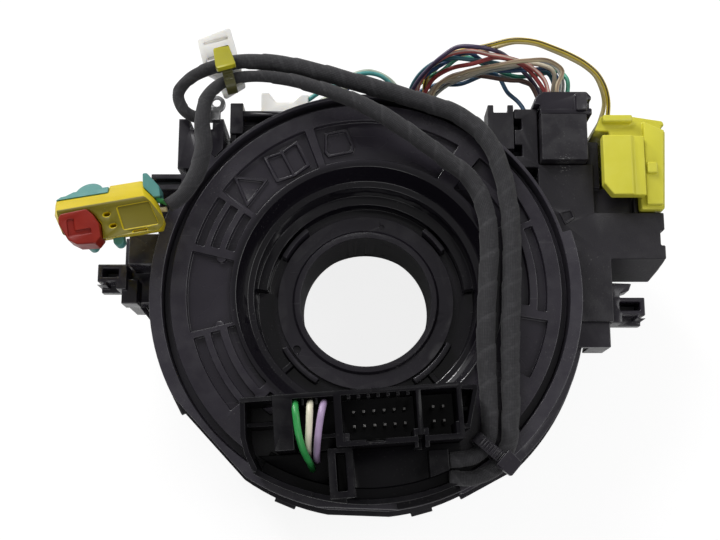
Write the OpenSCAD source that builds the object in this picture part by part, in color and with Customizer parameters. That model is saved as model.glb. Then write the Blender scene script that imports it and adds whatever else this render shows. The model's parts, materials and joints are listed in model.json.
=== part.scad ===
// Steering clock spring with its steering angle sensor, switch bracket and control unit.
// The unit lies on its back: +Z runs along the steering axis towards the wheel, and the
// origin is on that axis at the back face.

/* [Stack along the steering axis] */
// Length of the collar that grips the column tube
collar_len = 14; // [11:1:18]
// Thickness of the bracket's floor above the collar
floor_t = 2; // [1.6:0.1:3]
// Height kept for the cancel cam
cam_zone_h = 3.5; // [3.2:0.1:5]
// Height of the steering angle sensor
sensor_h = 9; // [8.8:0.1:12]
// Thickness of the clock spring's base plate
base_t = 2; // [1.6:0.1:3]
// Height of the stator case above its base plate
case_h = 23.5; // [22:0.5:27]

/* [Column and hub fit] */
// Radius of the bore that fits over the column tube
column_bore_r = 21.5; // [21.2:0.1:22.5]
// Wall of the collar
collar_wall = 3.5; // [2.5:0.1:4.5]
// Width of the slits that let the collar close
slit_w = 2.5; // [1.5:0.1:4]
// Radius of the bore that fits over the shaft's boss
hub_bore_r = 18.2; // [17:0.1:18.6]
// Wall of the hub's sleeve
hub_wall = 2; // [1.6:0.1:2.2]
// Radius of the hub's flange
hub_flange_r = 24.5; // [23.5:0.1:25]
// Thickness of the hub's flange
hub_flange_t = 2.5; // [1.5:0.1:3]
// Running clearance of the hub in the base plate's bearing
bearing_clear = 0.1; // [0.05:0.01:0.2]
// Running clearance everywhere else
run_clear = 0.3; // [0.2:0.05:0.5]

/* [Rotor] */
// Radius of the rotor's face
rotor_r = 52; // [50.5:0.1:52.6]
// Thickness of the rotor's face
disc_t = 3.2; // [2.8:0.1:4]
// Depth of the moulded pockets in the face
pocket_depth = 1.8; // [1:0.1:2.2]
// Radius of the funnel at the face
funnel_r = 34.5; // [34:0.1:35]
// Radius of the funnel at its ledge
funnel_low_r = 32; // [31.2:0.1:33]
// Depth of the ledge under the face
funnel_depth = 6; // [5:0.1:7]
// Inner radius of the drum that carries the ribbon cable
drum_r = 30.2; // [29:0.1:31]
// Wall of the drum
drum_wall = 1.6; // [1.2:0.1:2]
// Thickness of the web between drum and hub
web_t = 2; // [1.5:0.1:3]
// Angle at which the rotor is stored
rotor_set = 4; // [0:1:8]

/* [Stator] */
// Gap between the rotor's edge and the stator wall
rim_gap = 2.2; // [2:0.1:2.5]
// Thickness of the stator wall on its lower side
stator_wall = 3.4; // [2.8:0.1:3.8]
// Thickness of the guard rib over the top
guard_t = 1; // [0.8:0.1:1.6]
// How far the base flange stands out from the wall
flange_out = 1.4; // [0.8:0.1:2]
// Height of the base flange on the case
flange_h = 11; // [8:0.5:13]

/* [Sensor gears] */
// Module of the sensor's gears
gear_module = 1; // [0.98:0.01:1.02]
// Height of the gears
gear_h = 3.6; // [3:0.1:3.8]
// Backlash between the gears
gear_backlash = 0.3; // [0.2:0.05:0.4]

/* [Connector block] */
// Height of the connector block above the rotor's face
block_h = 18; // [15:0.5:20]
// Wall of the connector block
block_wall = 1.3; // [1:0.1:1.6]
// Depth of the block's sockets
socket_depth = 13; // [10:0.5:14]
// Distance between the pins
pin_pitch = 2.55; // [2.4:0.05:2.6]
// Thickness of a pin
pin_w = 0.7; // [0.5:0.1:0.9]

/* [Leads] */
// Diameter of the taped leads
loom_d = 5.2; // [5:0.1:5.4]
// Diameter of a single wire
wire_d = 1.6; // [1.4:0.1:1.8]
// Diameter of the jumper wires in the connector block
jumper_d = 2; // [1.6:0.1:2.2]

/* [Control unit] */
// Top of the control unit's panel above the back face
unit_top = 46; // [44:0.5:48]
// Wall of the control unit's housing
unit_wall = 2; // [1.5:0.1:2.5]
// Thickness of the circuit boards
board_t = 1.2; // [1:0.1:1.2]

/* [Hidden] */
$fn = 96;

// How deep a raised detail reaches into the face that carries it
sink = 0.2;

// Heights that follow from the stack
floor_z = collar_len;
floor_top = floor_z + floor_t;
sensor_z = floor_top + cam_zone_h;
base_z = sensor_z + sensor_h;
case_z = base_z + base_t;
face_z = case_z + case_h;
flange_top = case_z + flange_h;
bearing_top = case_z + 2.5;
web_z = bearing_top + 0.5;
web_top = web_z + web_t;
shelf_z = web_top + 4.5;
disc_low = face_z - disc_t;
ledge_z = face_z - funnel_depth;
// Everything the rotor carries outside its own edge stays above this height
sweep_z = face_z + run_clear;

hub_out_r = hub_bore_r + hub_wall;
hub_low = floor_top + run_clear;
drum_out_r = drum_r + drum_wall;
stator_in_r = rotor_r + rim_gap;
stator_out_r = stator_in_r + stator_wall;
guard_r = stator_in_r + guard_t;
collar_r = column_bore_r + collar_wall;
guard_from = 17;
guard_to = 138;

// Colours
black_plastic = "#1d1b1f";
dark_plastic = "#26242a";
tape_black = "#2b2a2b";
steel = "#b8b9bb";
pin_gold = "#c9c2ae";
lemon = "#e6e03a";
golden = "#e0c21c";
red_orange = "#d9432f";
teal = "#54b3a7";
milk_white = "#e8e6dd";
board_green = "#2f5d3a";

// A closed ring sector between two radii and two angles, standing from z0 to z1
module sector(r0, r1, a0, a1, z0, z1) {
    rotate([0, 0, a0])
        rotate_extrude(angle = a1 - a0)
            translate([r0, z0])
                square([r1 - r0, z1 - z0]);
}

// A box given by its lowest and its highest corner
module span(low, high) {
    translate(low)
        cube(high - low);
}

// A plan outline as tall as from z0 to z1
module rise(z0, z1) {
    translate([0, 0, z0])
        linear_extrude(z1 - z0)
            children();
}

// Unit vector, and the direction of a route at one of its points
function unit(v) = v / norm(v);
function heading(route, i) =
    unit(route[min(i + 1, len(route) - 1)] - route[max(i - 1, 0)]);

// Ring of points round a route's point, level with the reference direction
function ring(route, i, r, sides, up) =
    let (t = heading(route, i), u = unit(cross(up, t)), v = cross(t, u))
    [for (k = [0:sides - 1])
        route[i] + r * (cos(360 * (k + 0.5) / sides) * u + sin(360 * (k + 0.5) / sides) * v)];

// A round cord swept along its route, whose points may carry a share of its diameter
module cord(points_in, d, sides = 8, up = [0, 0, 1]) {
    n = len(points_in);
    route = [for (p = points_in) [p[0], p[1], p[2]]];
    rings = [for (i = [0:n - 1])
        ring(route, i, d * (len(points_in[i]) > 3 ? points_in[i][3] : 1) / 2, sides, up)];
    points = [for (r = rings, p = r) p];
    walls = [for (i = [0:n - 2], k = [0:sides - 1])
        let (a = i * sides + k, b = i * sides + (k + 1) % sides)
        each [[a, b, b + sides], [a, b + sides, a + sides]]];
    start_cap = [for (k = [sides - 1:-1:0]) k];
    end_cap = [for (k = [0:sides - 1]) (n - 1) * sides + k];
    faces = concat([start_cap], walls, [end_cap]);
    polyhedron(points, [for (f = faces) [for (k = [len(f) - 1:-1:0]) f[k]]]);
}

// Moulded pockets in the rotor's face: inner and outer radius, first and last angle
face_pockets = [
    [36.2, 47.6, 166.7, 193.4],
    [45.0, 47.5, 147, 164.2], [41.0, 43.4, 147, 163.6], [36.8, 39.2, 147, 163],
    [44.3, 47.1, 195.6, 222], [40.0, 42.5, 195.2, 224], [35.6, 37.9, 194.8, 223],
    [36.3, 47.6, 110.6, 144.4], [36.6, 47.6, 58, 107.4],
    [44.6, 48.2, 23.8, 50], [37.0, 42.6, 26, 50],
    [45.6, 48.0, -6.6, 21.8], [41.2, 43.4, -5, 21.8],
    [36.5, 48.6, -28.4, -9.4], [36.6, 41, 227, 233]
];

// Rounded nubs that key the plain pocket on the left, as radius and angle
pocket_nubs = [[39.7, 166.7], [39.6, 193.4]];

module rotor_profile() {
    polygon([[rotor_r, face_z], [rotor_r, disc_low], [funnel_r + 1.6, disc_low],
        [funnel_low_r + 1.6, ledge_z - 1.8], [drum_out_r, ledge_z - 1.8], [drum_out_r, web_z],
        [hub_out_r + run_clear, web_z], [hub_out_r + run_clear, web_top], [drum_r, web_top],
        [drum_r, ledge_z], [funnel_low_r, ledge_z], [funnel_r, face_z]]);
}

// A raised outline drawn round its own middle
module outline(points, keep) {
    difference() {
        polygon(points);
        scale([keep, keep, 1])
            polygon(points);
    }
}

triangle_mark = [for (a = [90, 210, 330]) 5.6 * [cos(a), sin(a)]];
leaf_mark = [[-5.2, -3.6], [0, -4.4], [5.2, -3.6], [5.2, 4.4], [0, 3.6], [-5.2, 4.4]];
tray_mark = [[-3.4, -3.4], [3.4, -3.4], [4.2, -1.8], [3, 3.6], [-3, 3.6], [-4.2, -1.8]];

module face_marks() {
    mark_z = face_z - pocket_depth;
    rise(mark_z - sink, mark_z + 1) {
        translate([-31.6, 28.8])
            rotate(-66)
                outline(triangle_mark, 0.74);
        translate([-21.4, 35.8])
            rotate(28)
                outline(leaf_mark, 0.82);
        translate([-21.4, 35.8])
            rotate(28)
                translate([-0.4, -3.7])
                    square([0.8, 7.6]);
        translate([-7.6, 41.4])
            rotate(12)
                outline(tray_mark, 0.8);
    }
}

module rotor_disc() {
    color(black_plastic) {
        difference() {
            rotate_extrude()
                rotor_profile();
            for (p = face_pockets)
                sector(p[0], p[1], p[2], p[3], face_z - pocket_depth, face_z + 1);
        }
        for (n = pocket_nubs)
            rotate([0, 0, n[1]])
                translate([n[0], 0, face_z - pocket_depth - sink])
                    cylinder(r = 1.3, h = pocket_depth - sink);
        face_marks();
        // Raised shelf in the upper half of the well, and the snap ribs round the hub
        sector(hub_flange_r + 2.9, drum_r + sink, 6, 174, web_top - sink, shelf_z);
        for (a = [[129, 152], [33, 51]])
            sector(hub_flange_r + 0.6, hub_flange_r + 2, a[0], a[1], web_top - sink, shelf_z + 1);
        for (a = [[-150, -121], [-59, -27]]) {
            sector(hub_flange_r + 0.6, hub_flange_r + 2.2, a[0], a[1], web_top - sink, web_top + 3.6);
            sector(hub_flange_r + 0.6, drum_r + sink, a[0] + 9, a[0] + 12, web_top - sink, web_top + 2.4);
        }
    }
}

// The two notches in the sleeve's back edge, by angle
hub_notches = [87, 102];

module hub_sleeve() {
    color(black_plastic)
        difference() {
            rotate_extrude()
                polygon([[hub_bore_r, hub_low], [hub_out_r, hub_low], [hub_out_r, web_top],
                    [hub_flange_r, web_top], [hub_flange_r, web_top + hub_flange_t],
                    [hub_bore_r + 2.2, web_top + hub_flange_t],
                    [hub_bore_r + 1.6, web_top + hub_flange_t + 0.9],
                    [hub_bore_r, web_top + hub_flange_t + 0.9]]);
            for (a = hub_notches)
                rotate([0, 0, a])
                    translate([hub_bore_r, 0, hub_low - 1])
                        rotate([0, 0, 45])
                            translate([-0.8, -0.8, 0])
                                cube([1.6, 1.6, 3]);
            rotate([0, 0, 78])
                translate([hub_flange_r - 2.6, 0, web_top + hub_flange_t - 0.6])
                    cylinder(r = 0.7, h = 1);
            rotate([0, 0, -145])
                translate([hub_flange_r - 1.2, 0, web_top + hub_flange_t - 1.2])
                    cylinder(r = 1.1, h = 2);
        }
}

module cancel_cam() {
    cam_top = sensor_z - run_clear;
    color(dark_plastic)
        rise(hub_low, cam_top)
            difference() {
                union() {
                    circle(r = hub_out_r + 2.2);
                    for (a = [90, 270])
                        rotate(a)
                            polygon([[hub_out_r, -7], [hub_out_r + 4, -3.2], [hub_out_r + 4, 3.2],
                                [hub_out_r, 7]]);
                }
                circle(r = hub_out_r + 0.05);
            }
}

// Involute gear outline with a tooth on the +X axis
function inv(a) = tan(a) * 180 / PI - a;
function tooth_half(n, r) =
    let (pitch_r = n * gear_module / 2, base_r = pitch_r * cos(20),
        at_pitch = 90 / n - gear_backlash / 2 / pitch_r * 90 / PI)
    at_pitch + inv(20) - inv(acos(min(1, base_r / max(r, base_r))));

module gear_plan(n) {
    pitch_r = n * gear_module / 2;
    root_r = pitch_r - 1.2 * gear_module;
    tip_r = pitch_r + 0.85 * gear_module;
    polygon([for (i = [0:n - 1], s = [-1, 1], k = [0:2])
        let (r = [root_r, pitch_r, tip_r][s < 0 ? k : 2 - k], a = 360 * i / n + s * tooth_half(n, r))
        [r * cos(a), r * sin(a)]]);
}

hub_teeth = 50;
teeth_a = 22;
teeth_b = 20;
tooth_step = 360 / hub_teeth;
angle_a = 10 * tooth_step;
angle_b = 16 * tooth_step;
reach_a = (hub_teeth + teeth_a) * gear_module / 2;
reach_b = (hub_teeth + teeth_b) * gear_module / 2;
gear_z = sensor_z + 2.2;
post_r = 1.5;

module at_gear(angle, reach) {
    rotate([0, 0, angle])
        translate([reach, 0, 0])
            children();
}

module sensor_gear() {
    color(milk_white)
        rise(gear_z, gear_z + gear_h)
            difference() {
                gear_plan(hub_teeth);
                circle(r = hub_out_r + 0.05);
            }
}

// A small gear that carries the sensor's magnet and turns on its post
module magnet_gear(angle, reach, teeth) {
    color(milk_white)
        at_gear(angle, reach)
            difference() {
                rise(gear_z, gear_z + gear_h)
                    rotate(180 + 180 / teeth)
                        gear_plan(teeth);
                translate([0, 0, gear_z - 1])
                    cylinder(r = post_r + 0.08, h = gear_h + 2);
                translate([0, 0, gear_z + gear_h - 1])
                    difference() {
                        cylinder(r = 6, h = 2);
                        cylinder(r = 3, h = 2);
                    }
            }
}

module magnet_gear_a() {
    magnet_gear(angle_a, reach_a, teeth_a);
}

module magnet_gear_b() {
    magnet_gear(angle_b, reach_b, teeth_b);
}

// Plan of the sensor: the ring round the hub and one lobe for each magnet gear
module sensor_plan(extra) {
    circle(r = hub_teeth * gear_module / 2 + 3 + extra);
    for (g = [[angle_a, reach_a, teeth_a], [angle_b, reach_b, teeth_b]])
        rotate(g[0])
            translate([g[1], 0])
                circle(r = g[2] * gear_module / 2 + 1.5 + extra);
}

sensor_wall = 1.5;
spout_y = [40, 57.5];
spout_z = [sensor_z, base_z - 1.6];
plug_spout_x = [-31, -17];
main_spout_x = [7, 25];
spout_wall = 1.2;

module spout(x_span) {
    difference() {
        span([x_span[0], spout_y[0], spout_z[0]], [x_span[1], spout_y[1], spout_z[1]]);
        span([x_span[0] + spout_wall, spout_y[1] - 7, spout_z[0] + spout_wall],
            [x_span[1] - spout_wall, spout_y[1] + 1, spout_z[1] - spout_wall]);
    }
}

module sensor_case() {
    color(dark_plastic) {
        difference() {
            union() {
                rise(sensor_z, base_z - 1.5)
                    sensor_plan(sensor_wall);
                spout(plug_spout_x);
                spout(main_spout_x);
            }
            rise(sensor_z + sensor_wall, base_z)
                sensor_plan(0);
            translate([0, 0, sensor_z - 1])
                cylinder(r = hub_out_r + run_clear, h = sensor_h);
        }
        for (g = [[angle_a, reach_a], [angle_b, reach_b]])
            at_gear(g[0], g[1])
                translate([0, 0, sensor_z + sensor_wall - sink])
                    cylinder(r = post_r, h = gear_z + gear_h + sink - sensor_z - sensor_wall);
    }
}

module sensor_cover() {
    color(black_plastic)
        difference() {
            rise(base_z - 1.5, base_z - 0.1)
                sensor_plan(sensor_wall);
            translate([0, 0, base_z - 2])
                cylinder(r = hub_out_r + run_clear, h = 3);
        }
}

module sensor_board() {
    color(board_green)
        rise(gear_z + gear_h + 0.3, gear_z + gear_h + 0.3 + board_t)
            difference() {
                sensor_plan(-0.4);
                circle(r = hub_out_r + 1.5);
            }
}

// Flats cut into the stator's round plan: direction and distance from the axis
stator_flats = [[-137, stator_out_r - 1.8], [-92, stator_out_r - 1], [-62, stator_out_r + 0.6]];

module flats(extra) {
    for (f = stator_flats)
        rotate(f[0])
            translate([f[1] + extra, -2 * stator_out_r])
                square([stator_out_r, 4 * stator_out_r]);
}

module pie(a0, a1, r) {
    polygon(concat([[0, 0]], [for (a = [a0:(a1 - a0) / 12:a1 + 0.01]) r * [cos(a), sin(a)]]));
}

// Plan of the stator: a thick wall on the lower side and only the guard rib over the top
module stator_plan(extra) {
    difference() {
        union() {
            circle(r = guard_r + extra);
            intersection() {
                circle(r = stator_out_r + extra);
                pie(guard_to, 360 + guard_from, 90);
            }
        }
        flats(extra);
    }
}

module flange_plan(extra) {
    difference() {
        union() {
            circle(r = stator_out_r + extra);
            intersection() {
                circle(r = stator_out_r + 3 + extra);
                pie(-64, -8, 90);
            }
        }
        flats(extra + 0.4);
    }
}

snap_angles = [-164, -152, -112, -75, -45, -22];

module stator_case() {
    color(black_plastic) {
        difference() {
            union() {
                rise(case_z, face_z)
                    stator_plan(0);
                rise(case_z, flange_top)
                    flange_plan(0);
            }
            translate([0, 0, case_z - 1])
                cylinder(r = stator_in_r, h = case_h + 2);
        }
        // Lip that closes the groove under the rotor's edge
        sector(rotor_r - 1.5, stator_in_r + sink, 0, 360, disc_low - 3.5, disc_low - 2);
    }
}

module stator_base() {
    color(dark_plastic)
        difference() {
            union() {
                rise(base_z, case_z)
                    flange_plan(flange_out);
                translate([0, 0, base_z])
                    cylinder(r = hub_out_r + 2, h = bearing_top - base_z);
                for (a = snap_angles)
                    rotate([0, 0, a])
                        span([stator_out_r - 6, -3, base_z + sink],
                            [stator_out_r + flange_out + 0.9, 3, case_z - sink]);
            }
            translate([0, 0, base_z - 1])
                cylinder(r = hub_out_r + bearing_clear, h = 10);
        }
}

// Ribbon cable wound in a flat spiral between drum and wall
ribbon_turns = 4;
ribbon_t = 0.5;
ribbon_in = drum_out_r + 3;
ribbon_out = stator_in_r - 3.5;

function ribbon_r(t) = ribbon_in + (ribbon_out - ribbon_in) * t / (360 * ribbon_turns);

module flat_cable() {
    steps = [0:12:360 * ribbon_turns];
    back = [360 * ribbon_turns:-12:0];
    color(milk_white)
        rise(case_z + 2, disc_low - 5)
            polygon(concat([for (t = steps) ribbon_r(t) * [cos(t), sin(t)]],
                [for (t = back) (ribbon_r(t) + ribbon_t) * [cos(t), sin(t)]]));
}

// Terminal blocks that hold the two ends of the ribbon
module rotor_terminal() {
    color(dark_plastic)
        difference() {
            sector(drum_out_r + 0.05, ribbon_in - run_clear, -14, 14, case_z + 3, disc_low - 6);
            sector(drum_out_r + 1, drum_out_r + 1.6, -10, 10, case_z + 2, disc_low - 4);
        }
}

module stator_terminal() {
    color(dark_plastic)
        difference() {
            sector(ribbon_out + ribbon_t + run_clear, stator_in_r - 0.05, -14, 14, case_z, disc_low - 6);
            sector(stator_in_r - 1.8, stator_in_r - 1.2, -10, 10, case_z + 2, disc_low - 4);
        }
}

// Connector block on the rotor, in the rotor's own directions
block_x = [-25.2, 21.2];
block_y = [-41.4, -27.7];
window_x = [-20.4, -10.2];
header_x = [-8.4, 10];
small_x = [11.2, 20];
wing_x = 25.4;
shroud_x = -33.2;
block_top = face_z + block_h;
socket_floor = block_top - socket_depth;
comb_teeth = 7;
key_rib = [[8.8, -42.8], [12.5, -38.2]];

module on_rotor() {
    rotate([0, 0, rotor_set])
        children();
}

module connector_block() {
    in_y = [block_y[0] + block_wall, block_y[1] - block_wall];
    color(black_plastic)
        on_rotor() {
            difference() {
                union() {
                    difference() {
                        span([block_x[0], block_y[0], face_z], [block_x[1], block_y[1], block_top]);
                        span([header_x[0], in_y[0], socket_floor], [header_x[1], in_y[1], block_top + 1]);
                        span([small_x[0], in_y[0], socket_floor], [small_x[1], in_y[1], block_top + 1]);
                    }
                    // Key between the sockets and step in the large one's corner
                    span([key_rib[0][0], key_rib[0][1], face_z + 2.6],
                        [key_rib[1][0], key_rib[1][1], block_top - sink]);
                    span([header_x[0] - sink, in_y[0] - sink, socket_floor - sink],
                        [header_x[0] + 1.6, in_y[0] + 1.9, block_top - sink]);
                    // Key on the small socket's right wall
                    span([small_x[1] - 0.8, in_y[0] - sink, socket_floor - sink],
                        [small_x[1] + sink, in_y[0] + 3, block_top - sink]);
                }
                // Slot in the key, and the seat of the latch in the lower wall
                span([header_x[1] - 0.2, key_rib[0][1] - 1, face_z + 4],
                    [small_x[0] + 0.2, key_rib[0][1] + 3, block_top + 1]);
                span([-2.9, in_y[0] - 0.7, block_top - 6], [1.8, in_y[0] + 1, block_top + 1]);
                // Window for the jumper wires, open towards the skirt
                span([window_x[0], block_y[0] - 1, face_z + 5], [window_x[1], in_y[1], block_top + 1]);
            }
            // Comb that keys the plug along the upper wall of the large socket
            comb_step = (header_x[1] - header_x[0] - 3.8) / (comb_teeth - 1);
            for (i = [0:comb_teeth - 1])
                translate([header_x[0] + 1.4 + i * comb_step, in_y[1] - 0.9, block_top - 6])
                    cube([1, 0.9 + sink, 5.4]);
            // Teeth that part the jumper wires, and the bar that they cross
            for (x = [-18.2, -14.8])
                span([x, in_y[1] - 1.6, face_z + 6], [x + 0.7, in_y[1] + sink, block_top - 1.4]);
            span([window_x[0] - sink, block_y[0] + 2.6, face_z + 9],
                [window_x[1] + sink, block_y[0] + 3.7, face_z + 13.4]);
            // Wing on the right with its rib
            rise(face_z, block_top - 1.5)
                polygon([[block_x[1] - sink, block_y[1] - 0.4], [wing_x, block_y[1] - 0.8], [wing_x, block_y[1] - 2],
                    [block_x[1] + 1.6, block_y[0] + 2.4], [block_x[1] - sink, block_y[0] + 2.4],
                    [block_x[1] - sink, block_y[0] + 3.6], [block_x[1] + 0.8, block_y[0] + 3.6],
                    [wing_x - 1.2, block_y[1] - 1.9], [block_x[1] - sink, block_y[1] - 1.6]]);
            span([block_x[1] - sink, block_y[0] + 7, face_z], [wing_x - 2, block_y[0] + 8.2, block_top - 6]);
        }
}

skirt_r = rotor_r + 3.6;
lead_end_x = 17.6;
skirt_wall = 1.4;
post_x = [-12.6, -6.4];

// A wall of even thickness along a line of points
module wall_along(points, t) {
    for (i = [0:len(points) - 2])
        hull() {
            translate(points[i])
                circle(d = t, $fn = 12);
            translate(points[i + 1])
                circle(d = t, $fn = 12);
        }
}

module block_shroud() {
    color(black_plastic)
        on_rotor() {
            difference() {
                union() {
                    // Wall round the rim, with its plate and the lip below it on the right
                    sector(skirt_r - skirt_wall, skirt_r, -124, -68, sweep_z, block_top - 3);
                    sector(rotor_r - 3.3, skirt_r - sink, -124, -68, sweep_z, sweep_z + 1.6);
                    sector(skirt_r - 1, skirt_r + 1.8, -86, -69, sweep_z, sweep_z + 1);
                }
                // The wall steps down twice towards the right
                sector(skirt_r - 6, skirt_r + 6, -108, -60, block_top - 6, block_top);
                sector(skirt_r - 6, skirt_r + 6, -99, -60, face_z + 6, block_top);
            }
            // Left wall, which curves into the wall round the rim
            rise(sweep_z, block_top - 1)
                wall_along([[shroud_x + 0.6, block_y[1] - 0.6], [shroud_x + 0.4, -37.6], [shroud_x + 1.2, -41.4],
                    [shroud_x + 2.8, -45.2]], block_wall);
            span([shroud_x + sink, block_y[1] - block_wall, face_z], [block_x[0], block_y[1] - 0.1, block_top - 0.6]);
            span([shroud_x + block_wall - sink, -34.8, face_z], [block_x[0], -33.6, block_top - 6]);
            // Dark floor between the block and the skirt, with the boss that the leads enter
            intersection() {
                union() {
                    span([shroud_x + block_wall - sink, -60, face_z], [block_x[1], block_y[0], face_z + 2.4]);
                    span([lead_end_x - 5, -52, face_z + 1], [lead_end_x, key_rib[0][1] - 0.3, face_z + 7.4]);
                }
                cylinder(r = rotor_r - 0.5, h = 80);
            }
            // Framed latch post
            difference() {
                span([post_x[0], -53.6, face_z + 1], [post_x[1], block_y[0], block_top - 4]);
                span([post_x[0] + 2, -51.9, face_z + 5], [post_x[1] - 1.9, block_y[0] - 1.2, block_top]);
                span([post_x[0] + 2, -54.6, face_z + 5], [post_x[1] - 1.9, -50, face_z + 9]);
            }
        }
}

// Pin columns and rows, measured from the middle of each socket
function header_pin_xy() = [for (i = [0:5], j = [0, 1])
    [(header_x[0] + header_x[1]) / 2 + (i - 2.5) * pin_pitch, (block_y[0] + block_y[1]) / 2 + (j - 0.5) * 3.6]];
function small_pin_xy() = [for (i = [0, 1], j = [0, 1])
    [(small_x[0] + small_x[1]) / 2 + (i - 0.5) * pin_pitch, (block_y[0] + block_y[1]) / 2 + (j - 0.5) * 3.6]];

module header_pins() {
    color(pin_gold)
        on_rotor()
            for (p = concat(header_pin_xy(), small_pin_xy()))
                span([p[0] - pin_w / 2, p[1] - pin_w / 2, socket_floor],
                    [p[0] + pin_w / 2, p[1] + pin_w / 2, socket_floor + 7.5]);
}

// Jumper wires from the block's window down onto the skirt
jumper_green_route = [[-17.6, -30.9, 62.4], [-17.7, -31, 67], [-17.6, -31.6, 70.6], [-17.3, -33.6, 72.2],
    [-16.9, -36.7, 72], [-16.4, -39.6, 70.9], [-15.8, -41.8, 68.8], [-14.9, -43.9, 65.6],
    [-14.1, -45.4, 62.4], [-13.7, -46.4, 59.8], [-13.6, -46.8, 57.8]];
jumper_white_route = [[-13.9, -30.7, 62.4], [-13.9, -30.8, 67], [-13.9, -31.5, 70.4], [-13.9, -33.6, 71.8],
    [-14, -36.6, 71.4], [-14.2, -39.4, 69.7], [-14.4, -41.3, 66.8], [-14.5, -42.7, 63],
    [-14.6, -43.5, 59.6], [-14.6, -43.7, 57.8]];
jumper_violet_route = [[-10.7, -30.5, 62.4], [-10.6, -30.6, 67], [-10.6, -31.4, 70.4], [-11, -33.6, 71.9],
    [-11.5, -36.6, 71.7], [-11.9, -39.6, 70.2], [-12.2, -42, 67], [-12.4, -43.6, 63],
    [-12.4, -44.4, 60], [-12.4, -44.6, 57.8]];

module jumper(route, tint) {
    color(tint)
        cord(route, jumper_d, up = [1, 0, 0]);
}

module jumper_green() {
    jumper(jumper_green_route, "#4fc04f");
}

module jumper_white() {
    jumper(jumper_white_route, "#ddd8bb");
}

module jumper_violet() {
    jumper(jumper_violet_route, "#b790c6");
}

// Taped leads, from the connector block across the face and out over the rim
lead_loom_route = [[20.9, -44.6, 58.8, 0.81], [27.6, -43.4, 58.6, 0.81], [31, -39.4, 58, 0.85],
    [31.6, -34, 57.4, 0.88], [31.3, -24, 57.2, 0.96], [31.2, -12, 57.2, 1], [31.9, 0, 57.2, 1],
    [32.6, 13, 57.2, 1], [31.6, 22, 57.2, 1], [28, 29.6, 57.8, 0.96], [21, 35.2, 59, 0.92],
    [11, 42.2, 61, 0.88], [0, 48.6, 62.4, 0.77], [-12, 53.6, 62.4, 0.65], [-24.4, 56.8, 62.2, 0.62],
    [-33.8, 56.9, 62, 0.62], [-39.7, 54.6, 62, 0.65], [-42.8, 50.4, 62, 0.73], [-43.6, 45, 61.8, 0.85],
    [-43.2, 38, 61, 0.92], [-45.2, 30.4, 60, 0.92], [-48.8, 24.6, 59.6, 0.81], [-52.4, 21.8, 59.6, 0.77]];
branch_loom_route = [[20.9, -49, 58.8, 0.73], [28, -48.8, 58.8, 0.77], [33.2, -46, 58.8, 0.81],
    [36, -41, 58.2, 0.85], [37, -34, 57.4, 0.92], [37.3, -24, 57.2, 0.96], [37.6, -12, 57.2, 1],
    [38.2, 0, 57.2, 1], [38.6, 13, 57.2, 1], [38, 24, 57.2, 1], [36.2, 33, 57.2, 1],
    [32.8, 41, 57.2, 1], [26, 47.8, 57.2, 0.96], [14, 53, 57.4, 0.92], [0, 57, 58.6, 0.88],
    [-13, 60.2, 60, 0.81], [-24.7, 62.2, 61, 0.77], [-34.1, 61.9, 61.4, 0.77], [-41.6, 60.2, 60.6, 0.73],
    [-48.2, 57.3, 59, 0.65], [-51, 53.4, 57.8, 0.65], [-49.8, 50, 57, 0.65], [-46.2, 47.7, 56.6, 0.62],
    [-42.6, 48.2, 56.6, 0.54]];

module lead_loom() {
    color(tape_black)
        cord(lead_loom_route, loom_d);
}

module branch_loom() {
    color(tape_black)
        cord(branch_loom_route, loom_d);
}

// A band tie round two leads: a rounded strap with ridges, across and deep inside
strap_t = 0.9;
ridge_step = 0.8;

module band_tie(across, deep, strap_w) {
    corner = 1.2;
    rotate([90, 0, 90])
        translate([0, 0, -strap_w / 2])
            linear_extrude(strap_w)
                difference() {
                    offset(r = corner + strap_t, $fn = 24)
                        square([across - 2 * corner, deep - 2 * corner], center = true);
                    offset(r = corner, $fn = 24)
                        square([across - 2 * corner, deep - 2 * corner], center = true);
                }
    for (y = [-across / 2 + corner:ridge_step:across / 2 - corner])
        span([-strap_w / 2 + 0.4, y, deep / 2 + strap_t - sink],
            [strap_w / 2 - 0.4, y + ridge_step / 2, deep / 2 + strap_t + 0.2]);
}

// The tie's head, a block that narrows away from the strap
module tie_head(w0, w1, y0, y1, z0, z1) {
    rise(z0, z1)
        offset(r = 0.5, $fn = 16)
            polygon([[-w0 / 2 + 0.5, y0 + 0.5], [w0 / 2 - 0.5, y0 + 0.5],
                [w1 / 2 - 0.5, y1 - 0.5], [-w1 / 2 + 0.5, y1 - 0.5]]);
}

module lead_tie() {
    color(black_plastic)
        translate([32.2, -42.6, 58.4])
            rotate([0, 0, -131]) {
                band_tie(10.8, 5.2, 3);
                tie_head(5.2, 4.4, 2.2, 6.9, 3.3, 5.8);
            }
}

module loom_tie() {
    color("#c9cf3a")
        translate([-37.3, 58.8, 61.5])
            rotate([0, 0, 15]) {
                band_tie(10.2, 4.8, 2.8);
                tie_head(5.3, 4.3, -1, 4.8, 3.1, 6);
            }
}

// White mounting plug that lies under the two leads at their tie
module white_plug() {
    color(milk_white)
        translate([-39, 61, 0])
            rotate([0, 0, 15])
                difference() {
                    rise(face_z + run_clear + 0.2, face_z + 3.9)
                        offset(r = 0.8, $fn = 24)
                            polygon([[-4.1, 1], [-4.1, 9.4], [3.9, 10.4], [4.1, 1], [4, -1.4], [4, -5],
                                [-1, -6.6], [-1.6, -1.4]]);
                    span([-3.4, 3.4, face_z + 3.2], [3.4, 4.2, face_z + 5]);
                    span([-3.4, 8, face_z + 3.2], [3.4, 8.8, face_z + 5]);
                }
}

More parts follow.
